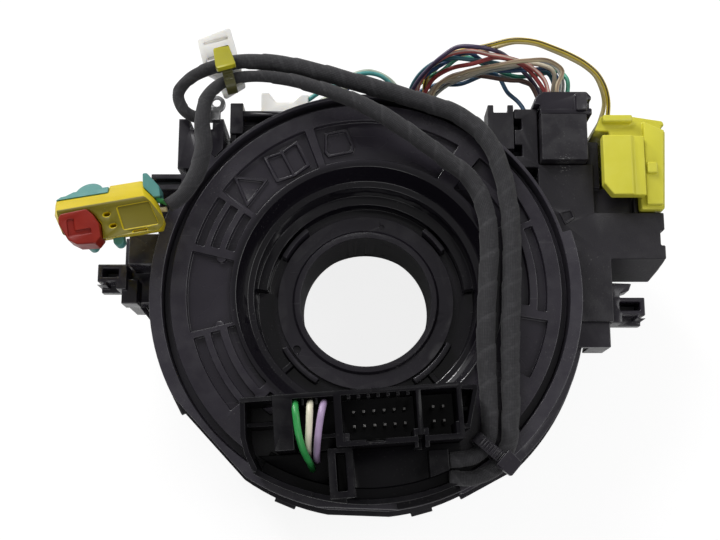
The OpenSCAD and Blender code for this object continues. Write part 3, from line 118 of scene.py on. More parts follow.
# %% Mesh from a grid of points
def grid_mesh(name, points, uv):
    """Mesh of a tube with a lid on both ends, from a grid of points with shape (rings, sides, 3).

    Vertex (i, k) has the number i * sides + k, and each face joins two neighbours on two neighbouring
    rings. The last column of faces meets the first, so u is raised by one full turn at its far corners.
    """
    rings, sides = points.shape[:2]
    k = np.arange(sides)
    i = np.arange(rings - 1)[:, None]
    here, after = i * sides + k, i * sides + (k + 1) % sides
    quads = np.stack([here, after, after + sides, here + sides], axis=-1).reshape(-1, 4)
    lids = [list(range(sides - 1, -1, -1)), list(range((rings - 1) * sides, rings * sides))]
    mesh = bpy.data.meshes.new(name)
    mesh.from_pydata(points.reshape(-1, 3).tolist(), [], quads.tolist() + lids)
    mesh.validate()
    layer = mesh.uv_layers.new(name="UVMap")
    corner = np.zeros(len(mesh.loops), int)
    mesh.loops.foreach_get("vertex_index", corner)
    flat = uv.reshape(-1, 2)[corner]
    last_column = np.tile(np.repeat(k == sides - 1, 4), rings - 1)
    seam = np.zeros(len(mesh.loops), bool)
    seam[:quads.size] = last_column & (corner[:quads.size] % sides == 0)
    flat[seam, 0] += 1
    layer.data.foreach_set("uv", flat.ravel().astype(np.float32))
    mesh.shade_smooth()
    return mesh


def add_piece(name, mesh, body, *nodes):
    """Object of a mesh, riding on a CAD body and standing for the CAD nodes that are named."""
    obj = bpy.data.objects.new(name, mesh)
    bpy.context.scene.collection.objects.link(obj)
    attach(obj, body)
    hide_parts(*nodes)
    return obj


print("mesh helpers ready")


# %% Points and UV of a tube
def ring_angles(sides):
    """Angles of the points of one ring."""
    return 2 * np.pi * np.arange(sides) / sides


def tube_points(path, radius, sides, up=(0, 0, 1)):
    """Ring of points round each point of the path.

    Across the path run two directions: the cross product of `up` and the path's direction, and the one
    square to both. A point of the ring is the path's point plus radius times cosine of the first and sine
    of the second.
    """
    centre = path[:, :3]
    ahead = np.gradient(centre, axis=0)
    ahead /= np.linalg.norm(ahead, axis=1)[:, None]
    side = np.cross(np.asarray(up, float), ahead)
    side /= np.linalg.norm(side, axis=1)[:, None]
    top = np.cross(ahead, side)
    angle = ring_angles(sides)
    radius = np.broadcast_to(radius, (len(path), sides))[..., None]
    ring = np.cos(angle)[None, :, None] * side[:, None] + np.sin(angle)[None, :, None] * top[:, None]
    return centre[:, None] + radius * ring


UV_LENGTH = 0.01


def tube_uv(run, sides):
    """UV of a tube: u is the share of the turn, v counts the run in centimetres."""
    u = np.arange(sides) / sides
    return np.stack(np.broadcast_arrays(u[None, :], run[:, None] / UV_LENGTH), axis=-1)


print("40 points in a ring stand", round(math.degrees(ring_angles(40)[1]), 1), "degrees apart")

# %% [markdown]
# ## The taped leads
#
# Two leads leave the connector block, run over the face and over the rim. They are bundles of wires wound
# with black cloth tape. Each turn of tape covers part of the one before, so the radius grows a little along
# a helix and drops back at each edge, and the wires inside make soft lumps. That shape is real geometry
# here, because it shows in the outline.

# %% Routes of the two leads
# Each point is x, y, z in millimetres and the share of the full diameter there
LOOM_D = 5.2
LEAD_ROUTE = [
    [20.9, -44.6, 58.8, 0.81], [27.6, -43.4, 58.6, 0.81], [31, -39.4, 58, 0.85], [31.6, -34, 57.4, 0.88],
    [31.3, -24, 57.2, 0.96], [31.2, -12, 57.2, 1], [31.9, 0, 57.2, 1], [32.6, 13, 57.2, 1],
    [31.6, 22, 57.2, 1], [28, 29.6, 57.8, 0.96], [21, 35.2, 59, 0.94], [11, 42.2, 61, 0.94],
    [0, 48.6, 62.4, 0.88], [-12, 53.6, 62.4, 0.76], [-24.4, 56.8, 62.2, 0.66], [-33.8, 56.9, 62, 0.62],
    [-39.7, 54.6, 62, 0.65], [-42.8, 50.4, 62, 0.73], [-43.6, 45, 61.8, 0.85], [-43.2, 38, 61, 0.92],
    [-45.2, 30.4, 60, 0.92], [-48.8, 24.6, 59.6, 0.81], [-52.4, 21.8, 59.6, 0.77]]
BRANCH_ROUTE = [
    [20.9, -49, 58.8, 0.73], [28, -48.8, 58.8, 0.77], [33.2, -46, 58.8, 0.81], [36, -41, 58.2, 0.85],
    [37, -34, 57.4, 0.92], [37.3, -24, 57.2, 0.96], [37.6, -12, 57.2, 1], [38.2, 0, 57.2, 1],
    [38.6, 13, 57.2, 1], [38, 24, 57.2, 1], [36.2, 33, 57.2, 1], [32.8, 41, 57.2, 1],
    [26, 47.4, 57.2, 0.98], [14, 52.1, 57.5, 0.98], [0, 55.9, 58.9, 0.97], [-13, 59.2, 60.2, 0.94],
    [-24.7, 61.4, 61, 0.9], [-34.1, 61.6, 61.4, 0.8], [-41.6, 60.2, 60.6, 0.73], [-48.2, 57.3, 59, 0.65],
    [-51, 53.4, 57.8, 0.65], [-49.8, 50, 57, 0.65], [-46.2, 47.7, 56.6, 0.62], [-42.6, 48.2, 56.6, 0.54]]
print("routes with", len(LEAD_ROUTE), "and", len(BRANCH_ROUTE), "points")

# %% [markdown]
# The radius is a formula of the run and of the turn. A saw-toothed ridge of 0.22 mm follows the tape's
# helix, whose turns lie 8.5 mm apart, and slow sine waves stand for the wires under it.

# %% Wind the tape round them
LEAD_STEP, LEAD_SIDES = 0.55, 40
TAPE_PITCH = 0.0085
TAPE_T = 0.00022
EDGE_SHARE = 0.06
CORE_SHARE, LUMP_SHARE = 0.955, 0.022


def taped_lead(name, route, node, phase):
    """Tube whose radius follows the tape.

    Turns of tape = run / pitch - share of the turn + phase, and their fractional part is the climb. The
    ridge is climb / (1 - edge share), and falls back to 0 over the edge share. Radius = base x (core share
    + lump share x lumps) + tape thickness x (ridge - 0.5), where the lumps are three slow sine waves along
    the run and round it.
    """
    path = smooth_path(route, LEAD_STEP)
    path[:, :3] *= MM
    length, run = path_length(path)
    angle = ring_angles(LEAD_SIDES)
    turn = angle[None, :] / (2 * np.pi)
    helix = run[:, None] / TAPE_PITCH - turn + phase
    climb = helix - np.floor(helix)
    ridge = np.where(climb > 1 - EDGE_SHARE, (1 - climb) / EDGE_SHARE, climb / (1 - EDGE_SHARE))
    lumps = (0.5 * np.sin(run[:, None] / 0.0041 + 2 * angle + phase)
             + 0.5 * np.sin(run[:, None] / 0.0073 - 3 * angle + 2 * phase)
             + 0.3 * np.sin(run[:, None] / 0.0023 + 4 * angle))
    base = path[:, 3:] * LOOM_D * MM / 2
    radius = base * (CORE_SHARE + LUMP_SHARE * lumps) + TAPE_T * (ridge - 0.5)
    points = tube_points(path, radius, LEAD_SIDES)
    mesh = grid_mesh(name, points, tube_uv(run, LEAD_SIDES))
    obj = add_piece(name, mesh, "rotor", node)
    return obj, path[:, :3], length


lead, lead_path, lead_length = taped_lead("taped_lead", LEAD_ROUTE, "lead_loom", 0.1)
branch, branch_path, branch_length = taped_lead("taped_branch", BRANCH_ROUTE, "branch_loom", 0.7)
print("lead", round(lead_length, 3), "m, branch", round(branch_length, 3), "m")

# %% [markdown]
# ## The harness and the small wires
#
# Single wires of 1.25 mm run from a white plug behind the ring to the main connector and to the yellow
# plug, and four shorter ones to the sensor's plug. Each is its own tube, a little wavy, because wires that
# were bundled once never lie quite straight, and they cross over and under one another.

# %% Routes of the harness wires, in millimetres
WIRE_D = 1.25
TOP_ROW, MID_ROW, LOW_ROW, PLUG_Y = 25.6, 24, 22.4, 60
WIRES = {
    "violet_wire": ("wires_violet", [
        [12, PLUG_Y, TOP_ROW], [14.4, 65.1, 33.7], [18.3, 68.3, 40], [21.4, 70, 43.6], [26, 72.3, 46],
        [32.4, 71.6, 47.6], [38, 71.6, 44.4], [42.2, 71.5, 38.7], [46.4, 68.3, 36.8], [49.6, 65, 35.2],
        [51.2, 61.4, 34.4], [51.4, 57.9, 34.8]]),
    "red_wire": ("wires_red", [
        [14.6, PLUG_Y, TOP_ROW], [16.8, 62.7, 31.1], [20, 67.2, 34.7], [24.8, 68.8, 38.7], [31, 68.8, 42.5],
        [37.3, 70.2, 43.5], [45.1, 68.5, 42.1], [50.2, 62.6, 41.7], [52.6, 57.9, 41.4]]),
    "blue_wire": ("wires_blue", [
        [17.2, PLUG_Y, LOW_ROW], [15.2, 66.4, 30.1], [18.5, 68.6, 35.6], [23, 70.5, 38.8],
        [28.8, 72.4, 41.8], [38.1, 68.9, 37.5], [48.1, 68.4, 38.7], [53.6, 68.6, 38.4], [56.4, 63.8, 38.4],
        [55.4, 57.9, 39.4]]),
    "blue_single": ("wires_blue", [
        [12, PLUG_Y, LOW_ROW], [13.1, 64.7, 22.8], [20, 68.3, 25.9], [28, 66.6, 32], [38.5, 69.2, 33.2],
        [41.9, 62.8, 34.4], [44.6, 59.6, 35.6], [46, 57, 36.2], [46.4, 53.8, 36.4]]),
    "green_wire": ("wires_green", [
        [14.6, PLUG_Y, LOW_ROW], [14.1, 65.3, 26.6], [18.1, 68.9, 30.8], [21.9, 69.2, 34.7],
        [27.8, 73.2, 36.3], [38.3, 69.8, 35], [44.7, 67.8, 34.9], [51.2, 68.5, 35], [56.5, 68.7, 36.7],
        [58.2, 65.9, 38.8], [57.6, 57.9, 41.8]]),
    "beige_wire": ("wires_beige", [
        [19.8, PLUG_Y, TOP_ROW], [19.2, 62.1, 31.8], [21.7, 65.2, 35.7], [28.4, 67.1, 39.8],
        [37.3, 67.9, 43.3], [45.9, 68.4, 45.7], [53, 68.5, 44.6], [56.1, 65.9, 44.4], [54.6, 61.4, 44.2],
        [54.4, 57.9, 43.8]]),
    "cream_wire": ("wires_beige", [
        [17.2, PLUG_Y, TOP_ROW], [18.3, 62.9, 30.9], [21.2, 65.7, 33.9], [27.7, 66.4, 37],
        [36.4, 68.5, 40.2], [43.9, 69.2, 40.7], [50.4, 69, 41.1], [53.8, 67.4, 41.1], [54.1, 61.2, 37.5],
        [53.4, 57.9, 36.2]]),
    "brown_wire": ("wires_brown", [
        [19.8, PLUG_Y, LOW_ROW], [18.7, 64, 25.7], [21.2, 66.6, 30.4], [26, 69.2, 32.4], [32.8, 67.9, 35.4],
        [41.8, 65.8, 37.1], [46.8, 64.9, 38], [50.6, 57.9, 38.6]]),
    "pink_wire": ("wires_red", [
        [15.9, PLUG_Y, MID_ROW], [15.2, 64.2, 30], [17.6, 68.3, 37.1], [20.7, 70.1, 41.2],
        [24.7, 71.2, 43.9], [30.9, 71.4, 45.3], [35.2, 70.3, 45.6], [40.1, 69.8, 44.6], [46.5, 68, 43.3],
        [51.2, 63.5, 42.8], [52.4, 57.9, 43]]),
    "grey_wire": ("wires_beige", [
        [18.5, PLUG_Y, MID_ROW], [19.1, 62.3, 28.7], [23.6, 66.2, 31.1], [29.4, 67.4, 35.1],
        [35.8, 68.1, 38.6], [42.2, 69.1, 39.1], [48.1, 70.1, 39.7], [52.6, 69.6, 40], [55.6, 67.7, 40.6],
        [56.6, 64, 41.2], [56, 57.9, 41.6]]),
    "teal_wire": ("wires_green", [
        [13.3, PLUG_Y, MID_ROW], [13.2, 64.8, 29.9], [15.8, 68.4, 34.7], [19.6, 70.5, 38.2],
        [24.8, 70.5, 42.3], [31.3, 70.1, 41.9], [38.3, 70.3, 39], [44.3, 69.9, 36], [49.5, 69.5, 36.2],
        [53.5, 67.9, 36.8], [55, 64.7, 36.5], [54.6, 57.9, 37.6]]),
    "dark_wire": ("wires_brown", [
        [21.1, PLUG_Y, MID_ROW], [20.3, 63.3, 25.4], [22.5, 68.3, 26], [26.6, 70.3, 29.9],
        [32.5, 70.6, 31.1], [39.2, 69.6, 31], [45.8, 68, 31], [50.4, 65.6, 31.8], [52.8, 62.2, 33],
        [53.2, 57.9, 34]]),
}
print(len(WIRES), "harness routes")

# %% Routes of the sensor's and the airbag's wires
WIRES |= {
    "sensor_wire_a": ("sensor_wires", [
        [-17, 63.4, 27.2], [-12.4, 65.8, 29.4], [-6.1, 67.9, 31], [-2.2, 69.6, 32], [1.3, 70, 32],
        [4.7, 69.3, 31.4], [8, 66.8, 29.6], [9.4, 63.8, 27.8], [9.4, PLUG_Y, TOP_ROW]]),
    "sensor_wire_b": ("sensor_wires", [
        [-17, 62, 24.6], [-12.2, 64, 26.6], [-6.1, 66.2, 28.4], [-2.2, 67.8, 29.2], [1.3, 68.2, 29.2],
        [4.6, 67.2, 28.4], [7.6, 64.8, 26.2], [9, 62.8, 24.2], [9.4, PLUG_Y, LOW_ROW]]),
    "sensor_wire_c": ("sensor_wires", [
        [-17, 64.6, 25.2], [-12.2, 66.8, 27.4], [-6.1, 69.1, 29.4], [-2.2, 70.8, 30.4], [1.3, 71.3, 30.4],
        [4.9, 70.4, 29.8], [8.8, 67.4, 29.2], [10.7, 64, 27.6], [10.7, PLUG_Y, TOP_ROW]]),
    "sensor_wire_d": ("sensor_wires", [
        [-17, 61.2, 26.6], [-12, 63.2, 28.8], [-6, 65.7, 30.8], [-2.2, 67.3, 31.8], [1.2, 67.6, 31.8],
        [4.3, 66.4, 30.8], [6.9, 64.2, 27.8], [10.4, 62.4, 24.6], [10.7, PLUG_Y, MID_ROW]]),
    "airbag_wire_a": ("airbag_wires", [
        [22.4, PLUG_Y, TOP_ROW], [18, 64.4, 28], [18.6, 69.1, 33.8], [21.8, 71.4, 37.6], [25.5, 72, 42.6],
        [29.8, 72.6, 43.9], [33.7, 72.9, 45.2], [42.9, 73, 49.8], [47.9, 72.3, 50], [52.8, 70.5, 50],
        [57.8, 68.4, 49.6], [62.2, 66, 48.9], [65.5, 63.4, 47.7], [67.7, 60.6, 45.7], [69.2, 57, 42.7],
        [69, 50.8, 40]]),
    "airbag_wire_b": ("airbag_wires", [
        [22.4, PLUG_Y, LOW_ROW], [18.5, 65.3, 24.5], [19.5, 69.6, 30.3], [22.4, 71.4, 36],
        [26.2, 73.1, 37.5], [30.3, 73.3, 39.4], [34.2, 72.8, 42.3], [43.2, 73.3, 47.4], [48, 72.5, 48],
        [52.8, 70.6, 48], [57.6, 68.5, 47.6], [62, 66.2, 46.9], [65.1, 63.9, 45.7], [67.1, 61, 43.7],
        [68.4, 57.5, 40.9], [66.8, 50.8, 38.6]]),
}
print(len(WIRES), "routes in all")

# %% [markdown]
# One function makes all wires. Steps of 0.8 mm and 14 sides keep the bends round, and more would not show.

# %% Make the wires
WIRE_STEP, WIRE_SIDES = 0.8, 14


def plain_wire(name, route, diameter, body, nodes, up=(0, 0, 1)):
    """Round tube of one diameter along the route's smooth curve."""
    path = smooth_path(route, WIRE_STEP) * MM
    length, run = path_length(path)
    points = tube_points(path, diameter * MM / 2, WIRE_SIDES, up)
    return add_piece(name, grid_mesh(name, points, tube_uv(run, WIRE_SIDES)), body, *nodes), path, length


wires = {}
for wire_name, (cad_node, route) in WIRES.items():
    wires[wire_name] = plain_wire(wire_name, route, WIRE_D, "stator", [cad_node])
print(len(wires), "wires, longest", round(max(w[2] for w in wires.values()), 3), "m")

# %% [markdown]
# ## Short wires
#
# Three jumpers leap from the connector block down to the skirt, and two stubs join the squib connector to
# its lead. They are too short and stiff to be cords. The jumpers start straight up, so their rings are laid
# out from the x direction instead of z.

# %% The jumpers in the connector block and the two stubs at the squib connector
JUMPER_D = 1.75
STUB_D = 1.4
JUMPERS = {
    "jumper_green": [[-17.6, -30.9, 62.4], [-17.7, -31, 67], [-17.6, -31.6, 70.6], [-17.3, -33.6, 72.2],
                     [-16.9, -36.7, 72], [-16.4, -39.6, 70.9], [-15.8, -41.8, 68.8], [-14.9, -43.9, 65.6],
                     [-14.1, -45.4, 62.4], [-13.7, -46.4, 59.8], [-13.6, -46.8, 57.8]],
    "jumper_white": [[-13.9, -30.7, 62.4], [-13.9, -30.8, 67], [-13.9, -31.5, 70.4], [-13.9, -33.6, 71.8],
                     [-14, -36.6, 71.4], [-14.2, -39.4, 69.7], [-14.4, -41.3, 66.8], [-14.5, -42.7, 63],
                     [-14.6, -43.5, 59.6], [-14.6, -43.7, 57.8]],
    "jumper_violet": [[-10.7, -30.5, 62.4], [-10.6, -30.6, 67], [-10.6, -31.4, 70.4], [-11, -33.6, 71.9],
                      [-11.5, -36.6, 71.7], [-11.9, -39.6, 70.2], [-12.2, -42, 67], [-12.4, -43.6, 63],
                      [-12.4, -44.4, 60], [-12.4, -44.6, 57.8]],
}
STUBS = {
    "stub_green": [[-55.9, 23.4, 59.6], [-54.2, 23.2, 59.5], [-52.6, 22.6, 59.3]],
    "stub_beige": [[-55.5, 20.8, 59.2], [-54, 21, 59], [-52.6, 21.1, 58.9]],
}
small_wires = {}
for wire_name, route in JUMPERS.items():
    small_wires[wire_name] = plain_wire(wire_name + "_tube", route, JUMPER_D, "rotor", [wire_name],
                                        (1, 0, 0))[0]
for wire_name, route in STUBS.items():
    small_wires[wire_name] = plain_wire(wire_name, route, STUB_D, "rotor", ["squib_wires"])[0]
print(len(small_wires), "short wires")

# %% [markdown]
# ## Moulded edges
#
# No moulded edge is knife-sharp: it has a radius of a few tenths of a millimetre, and that line of light is
# what makes plastic look real. The CAD solids come as loose triangles with sharp edges, so each is copied,
# its points are merged, flat neighbours are joined, and a Bevel modifier rounds every edge that turns by
# more than 35 degrees.
#
# Where two edges lie closer than their radii, rounding would fold the surface over itself. So the room
# beside each edge is measured first, and the modifier takes each edge's share of the radius from there.


# %% Room beside each edge
CORNER_TURN = math.radians(130)
TINY_LENGTH, TOUCH = 1e-9, 1e-6


def room_beside(corners):
    """Free depth beside each side of a flat polygon, given its corners (n, 2) counter-clockwise.

    Seen from a side, any other side over its span leaves some depth, the distance square to the side. A
    neighbour that meets it at less than 130 degrees limits it too, by its own length times the sine of that
    angle.
    """
    end = np.roll(corners, -1, axis=0)
    along = end - corners
    length = np.maximum(np.linalg.norm(along, axis=1), TINY_LENGTH)
    along = along / length[:, None]
    inward = np.stack([-along[:, 1], along[:, 0]], axis=1)
    first, last = corners[None] - corners[:, None], end[None] - corners[:, None]
    s = np.stack([np.einsum("ijk,ik->ij", v, along) for v in (first, last)])
    d = np.stack([np.einsum("ijk,ik->ij", v, inward) for v in (first, last)])
    span = np.clip(s, 0, length[None, :, None])
    slope = (d[1] - d[0]) / np.where(np.abs(s[1] - s[0]) > TINY_LENGTH, s[1] - s[0], np.inf)
    depth = (d[0] + (span - s[0]) * slope).min(axis=0)
    over = (s.max(axis=0) > TOUCH) & (s.min(axis=0) < length[:, None] - TOUCH) & (depth > TOUCH)
    n = len(corners)
    i = np.arange(n)
    for shift in (0, 1, -1):
        over[i, (i + shift) % n] = False
    room = np.where(over, depth, np.inf).min(axis=1)
    for shift, sign in ((1, 1), (-1, -1)):
        j = (i + shift) % n
        cosine = -(along * along[j]).sum(axis=1)
        cross = along[:, 0] * along[j, 1] - along[:, 1] * along[j, 0]
        sharp_corner = (cosine > math.cos(CORNER_TURN)) & (sign * cross > 0)
        sine = np.where(cosine > 0, np.sqrt(np.clip(1 - cosine**2, 0, 1)), 1)
        room = np.where(sharp_corner, np.minimum(room, length[j] * sine), room)
    return room


print("room beside a 4 by 1 plate's sides:", room_beside(np.array([[0, 0], [4, 0], [4, 1], [0, 1.0]])))

# %% Share of the radius for each edge
ROOM_SHARE = 0.45
TINY_AREA = 1e-12


def rounding_shares(work, radius, turn):
    """Share of the radius that each sharp edge takes: ROOM_SHARE x its least room / radius, at most 1."""
    shares = work.edges.layers.float.new("bevel_weight_edge")
    least = {}
    for face in work.faces:
        if face.calc_area() < TINY_AREA:
            continue
        normal = np.array(face.normal)
        across = np.cross(normal, [1, 0, 0] if abs(normal[0]) < 0.8 else [0, 1, 0])
        across /= np.linalg.norm(across)
        plane = np.stack([across, np.cross(normal, across)], axis=1)
        flat = np.array([v.co[:] for v in face.verts]) @ plane
        for loop, room in zip(face.loops, room_beside(flat)):
            least[loop.edge] = min(least.get(loop.edge, math.inf), room)
    for edge, room in least.items():
        if len(edge.link_faces) == 2 and edge.calc_face_angle(0) > turn:
            edge[shares] = min(1, ROOM_SHARE * room / radius)


print("an edge may take", ROOM_SHARE, "of the room beside it")

# %% [markdown]
# A flat face with an opening becomes one polygon with many corners when its triangles are joined. Some of
# these fold over when a bevel moves their edges, so the nodes in SPLIT get their flats back in triangles
# before the rounding.

# %% How a CAD node is dressed
MERGE_REACH = 2e-6
FLAT_TURN = math.radians(0.6)
SHARP_TURN = math.radians(35)
SPLIT = {"connector_block", "lead_tie", "loom_tie", "earth_terminal", "squib_body", "sensor_case",
         "sensor_plug", "harness_plug", "switch_bracket", "main_receptacle", "plug_cover"}
body_of_node = {n: b for b, nodes in frame["record"]["behaviour"]["bodies"].items() for n in nodes}


def dressed(node, radius):
    """Copy of a CAD node that stands for it, its sharp edges rounded by `radius` millimetres."""
    source = frame["nodes"][node]
    work = bmesh.new()
    work.from_mesh(source.data)
    bmesh.ops.remove_doubles(work, verts=work.verts, dist=MERGE_REACH)
    bmesh.ops.dissolve_limit(work, angle_limit=FLAT_TURN, verts=work.verts, edges=work.edges,
                             use_dissolve_boundaries=False)
    if radius:
        rounding_shares(work, radius * MM, SHARP_TURN)
    if node in SPLIT:
        bmesh.ops.triangulate(work, faces=[f for f in work.faces if len(f.verts) > 4])
    mesh = bpy.data.meshes.new(node + "_moulded")
    work.to_mesh(mesh)
    work.free()
    mesh.shade_smooth()
    mesh.set_sharp_from_angle(angle=SHARP_TURN)
    obj = add_piece(node + "_moulded", mesh, body_of_node[node], node)
    if radius:
        bevel = obj.modifiers.new("mould radius", "BEVEL")
        bevel.width = radius * MM
        bevel.segments = 2
        bevel.limit_method = "WEIGHT"
        bevel.use_clamp_overlap = False
        bevel.harden_normals = True
        bevel.miter_outer = "MITER_ARC"
    return obj


print(len(SPLIT), "nodes keep their flats in triangles")

# %% [markdown]
# Each node has its own radius. Nodes that are closed in have none, because a bevel would only add
# triangles there.

# %% Dress the CAD nodes, each with its radius in millimetres
EDGE = {
    "rotor_disc": 0.25, "hub_sleeve": 0.12, "cancel_cam": 0.3, "connector_block": 0.2, "block_shroud": 0.2,
    "lead_tie": 0.2, "loom_tie": 0.12, "white_plug": 0.125, "earth_terminal": 0.15, "squib_body": 0.45,
    "squib_retainer": 0.35, "squib_lock": 0.35, "stator_case": 0.3, "stator_base": 0.2, "sensor_case": 0.25,
    "sensor_plug": 0.35, "harness_plug": 0.3, "switch_bracket": 0.27, "clamp_band": 0.15,
    "clamp_screw": 0.15, "unit_housing": 0.35, "unit_cover": 0.3, "main_receptacle": 0.25,
    "main_plug": 0.25, "plug_cover": 0.4, "aux_socket": 0.25, "airbag_plug": 0.5, "airbag_lock": 0.4,
    "bracket_screws": 0.15, "header_pins": 0.12, "rotor_terminal": 0, "stator_terminal": 0,
    "sensor_gear": 0, "sensor_cover": 0, "sensor_board": 0, "unit_board": 0, "magnet_gear_a": 0,
    "magnet_gear_b": 0, "flat_cable": 0,
}
moulded = {node_name: dressed(node_name, edge_radius) for node_name, edge_radius in EDGE.items()}
print(len(moulded), "nodes dressed,", sum(map(bool, EDGE.values())), "of them with moulded edges")

# %% [markdown]
# ## Shader tools
#
# Materials are networks of nodes. One small function makes a node, sets its fields and links its inputs, so
# that a network reads like a formula.


# %% Make, link and mix nodes
def put(tree, kind, inputs=None, **fields):
    """New node: `fields` are its properties, and an input is linked if a socket is given, or else set."""
    node = tree.nodes.new(kind)
    for key, value in fields.items():
        setattr(node, key, value)
    for key, value in (inputs or {}).items():
        if isinstance(value, bpy.types.NodeSocket):
            tree.links.new(value, node.inputs[key])
        else:
            node.inputs[key].default_value = value
    return node


def maths(tree, operation, a, b=0.5, c=None):
    """Result of a math node, of one to three numbers."""
    inputs = {0: a, 1: b} if c is None else {0: a, 1: b, 2: c}
    return put(tree, "ShaderNodeMath", inputs, operation=operation).outputs[0]


def remap(tree, value, low, high):
    """Value from low..high to 0..1, held at the ends."""
    return put(tree, "ShaderNodeMapRange", {0: value, 1: low, 2: high}).outputs[0]


def blend(tree, share, a, b):
    """Mix of two colours: (1 - share) x a + share x b."""
    node = put(tree, "ShaderNodeMix", data_type="RGBA")
    for index, value in ((0, share), (6, a), (7, b)):
        if isinstance(value, bpy.types.NodeSocket):
            tree.links.new(value, node.inputs[index])
        else:
            node.inputs[index].default_value = value
    return node.outputs[2]


print("node helpers:", [f.__name__ for f in (put, maths, remap, blend)])


# %% Textures, bumps and materials
def noise(tree, where, scale, detail, rough=0.5):
    """Noise texture's factor, with `scale` in waves per metre."""
    inputs = {"Vector": where, "Scale": scale, "Detail": detail, "Roughness": rough}
    return put(tree, "ShaderNodeTexNoise", inputs).outputs[0]


def object_place(tree):
    """Place on the piece, in metres from its origin."""
    return put(tree, "ShaderNodeTexCoord").outputs["Object"]


def bump(tree, shader, strength, distance, height):
    """Bump of the shader's normal: a height of 1 stands `distance` metres high."""
    node = put(tree, "ShaderNodeBump", {"Strength": strength, "Distance": distance, "Height": height})
    tree.links.new(node.outputs[0], shader.inputs["Normal"])


def new_material(name):
    """Material with nodes, its tree and its Principled shader."""
    material = bpy.data.materials.new(name)
    material.use_nodes = True
    tree = material.node_tree
    return material, tree, tree.nodes["Principled BSDF"]


def effect(name, inputs, outputs):
    """Empty node group with number inputs (name: default) and named outputs, and its two end nodes."""
    tree = bpy.data.node_groups.new(name, "ShaderNodeTree")
    for key, default in inputs.items():
        socket = tree.interface.new_socket(key, in_out="INPUT", socket_type="NodeSocketFloat")
        socket.default_value = default
    for key in outputs:
        tree.interface.new_socket(key, in_out="OUTPUT", socket_type="NodeSocketFloat")
    return tree, tree.nodes.new("NodeGroupInput"), tree.nodes.new("NodeGroupOutput")


print("shader helpers:", [f.__name__ for f in (noise, object_place, bump, new_material, effect)])

# %% [markdown]
# ### Moulded surface
#
# Injection-moulded plastic has a fine spark-eroded grain, faint clouds where it flowed, a few hairline
# scuffs and some dust in the corners. This group gives four masks that every plastic here mixes in its own
# measure.

# %% Group: moulded surface
moulded_surface, g_in, g_out = effect(
    "moulded surface", {"Grain": 2600.0, "Clouds": 55.0},
    ["Grain", "Clouds", "Scuffs", "Dust"])
place = object_place(moulded_surface)
for mask, detail in (("Grain", 2.0), ("Clouds", 3.0)):
    waves = noise(moulded_surface, place, g_in.outputs[mask], detail)
    moulded_surface.links.new(waves, g_out.inputs[mask])
SCUFF_TURN, SCUFF_STRETCH = (0.3, 0.2, 0.7), (1.0, 26.0, 9.0)
stretched = put(moulded_surface, "ShaderNodeMapping",
                {"Vector": place, "Rotation": SCUFF_TURN, "Scale": SCUFF_STRETCH}).outputs[0]
scratch = noise(moulded_surface, stretched, 38.0, 4.0, 0.62)
moulded_surface.links.new(remap(moulded_surface, scratch, 0.66, 0.72), g_out.inputs["Scuffs"])
speck = noise(moulded_surface, place, 1500.0, 1.0)
drift = noise(moulded_surface, place, 60.0, 2.0)
dust = maths(moulded_surface, "MULTIPLY", remap(moulded_surface, speck, 0.66, 0.74),
             remap(moulded_surface, drift, 0.45, 0.7))
moulded_surface.links.new(dust, g_out.inputs["Dust"])
print("group made:", moulded_surface.name)

# %% [markdown]
# ### Worn edges
#
# Hands and neighbours rub a part where it sticks out. The geometry's pointiness is above one half on convex
# edges, so a threshold a little above that finds them, and a noise breaks the mask into patches.

# %% Group: worn edges
worn_edges, g_in, g_out = effect("worn edges", {"Sharpness": 0.53, "Softness": 0.06}, ["Mask"])
pointed = put(worn_edges, "ShaderNodeNewGeometry").outputs["Pointiness"]
high_end = maths(worn_edges, "ADD", g_in.outputs["Sharpness"], g_in.outputs["Softness"])
edge_mask = remap(worn_edges, pointed, g_in.outputs["Sharpness"], high_end)
patchy = remap(worn_edges, noise(worn_edges, object_place(worn_edges), 240.0, 3.0), 0.4, 0.62)
worn_edges.links.new(maths(worn_edges, "MULTIPLY", edge_mask, patchy), g_out.inputs["Mask"])
print("surface groups:", [t.name for t in bpy.data.node_groups])

# %% [markdown]
# ### Moulded plastic
#
# All plastics share one recipe: two close colours in clouds, then wear, then painted shade on some faces,
# then polish with its painted shade, then dust on top. The roughness follows the same masks, because a scuff
# is duller and a rubbed edge is smoother than the grain around it.

# %% Masks of polish with painted shade, and of powder
POLISH_AND_SHADE_START, POLISH_AND_SHADE_END = 0.0008, 0.002


def ring_mask(tree, inner, outer):
    """1 between two radii round z, with soft ends: a rise times a fall of sqrt(x squared + y squared)."""
    where = put(tree, "ShaderNodeSeparateXYZ", {0: object_place(tree)}).outputs
    squares = [maths(tree, "POWER", where[axis], 2.0) for axis in (0, 1)]
    reach = maths(tree, "SQRT", maths(tree, "ADD", *squares))
    return maths(tree, "MULTIPLY", remap(tree, reach, inner - POLISH_AND_SHADE_START, inner),
                 remap(tree, reach, outer, outer - POLISH_AND_SHADE_END))


def powder_mask(tree, spot, reach, grain):
    """Specks round a spot: 1 at the spot and 0 at `reach`, times the grain's highest peaks."""
    away = put(tree, "ShaderNodeVectorMath", {0: object_place(tree), 1: spot}, operation="DISTANCE")
    near = remap(tree, away.outputs["Value"], reach, 0.0)
    return maths(tree, "MULTIPLY", near, remap(tree, grain, 0.6, 0.64))


print("polish fades over", POLISH_AND_SHADE_START / MM, "and", POLISH_AND_SHADE_END / MM, "mm")

# %% Function: a moulded plastic
DUST_COLOUR = (0.5, 0.49, 0.46, 1)
POWDER_COLOUR = (0.62, 0.61, 0.6, 1)
LEVEL_BLEND = 0.0002


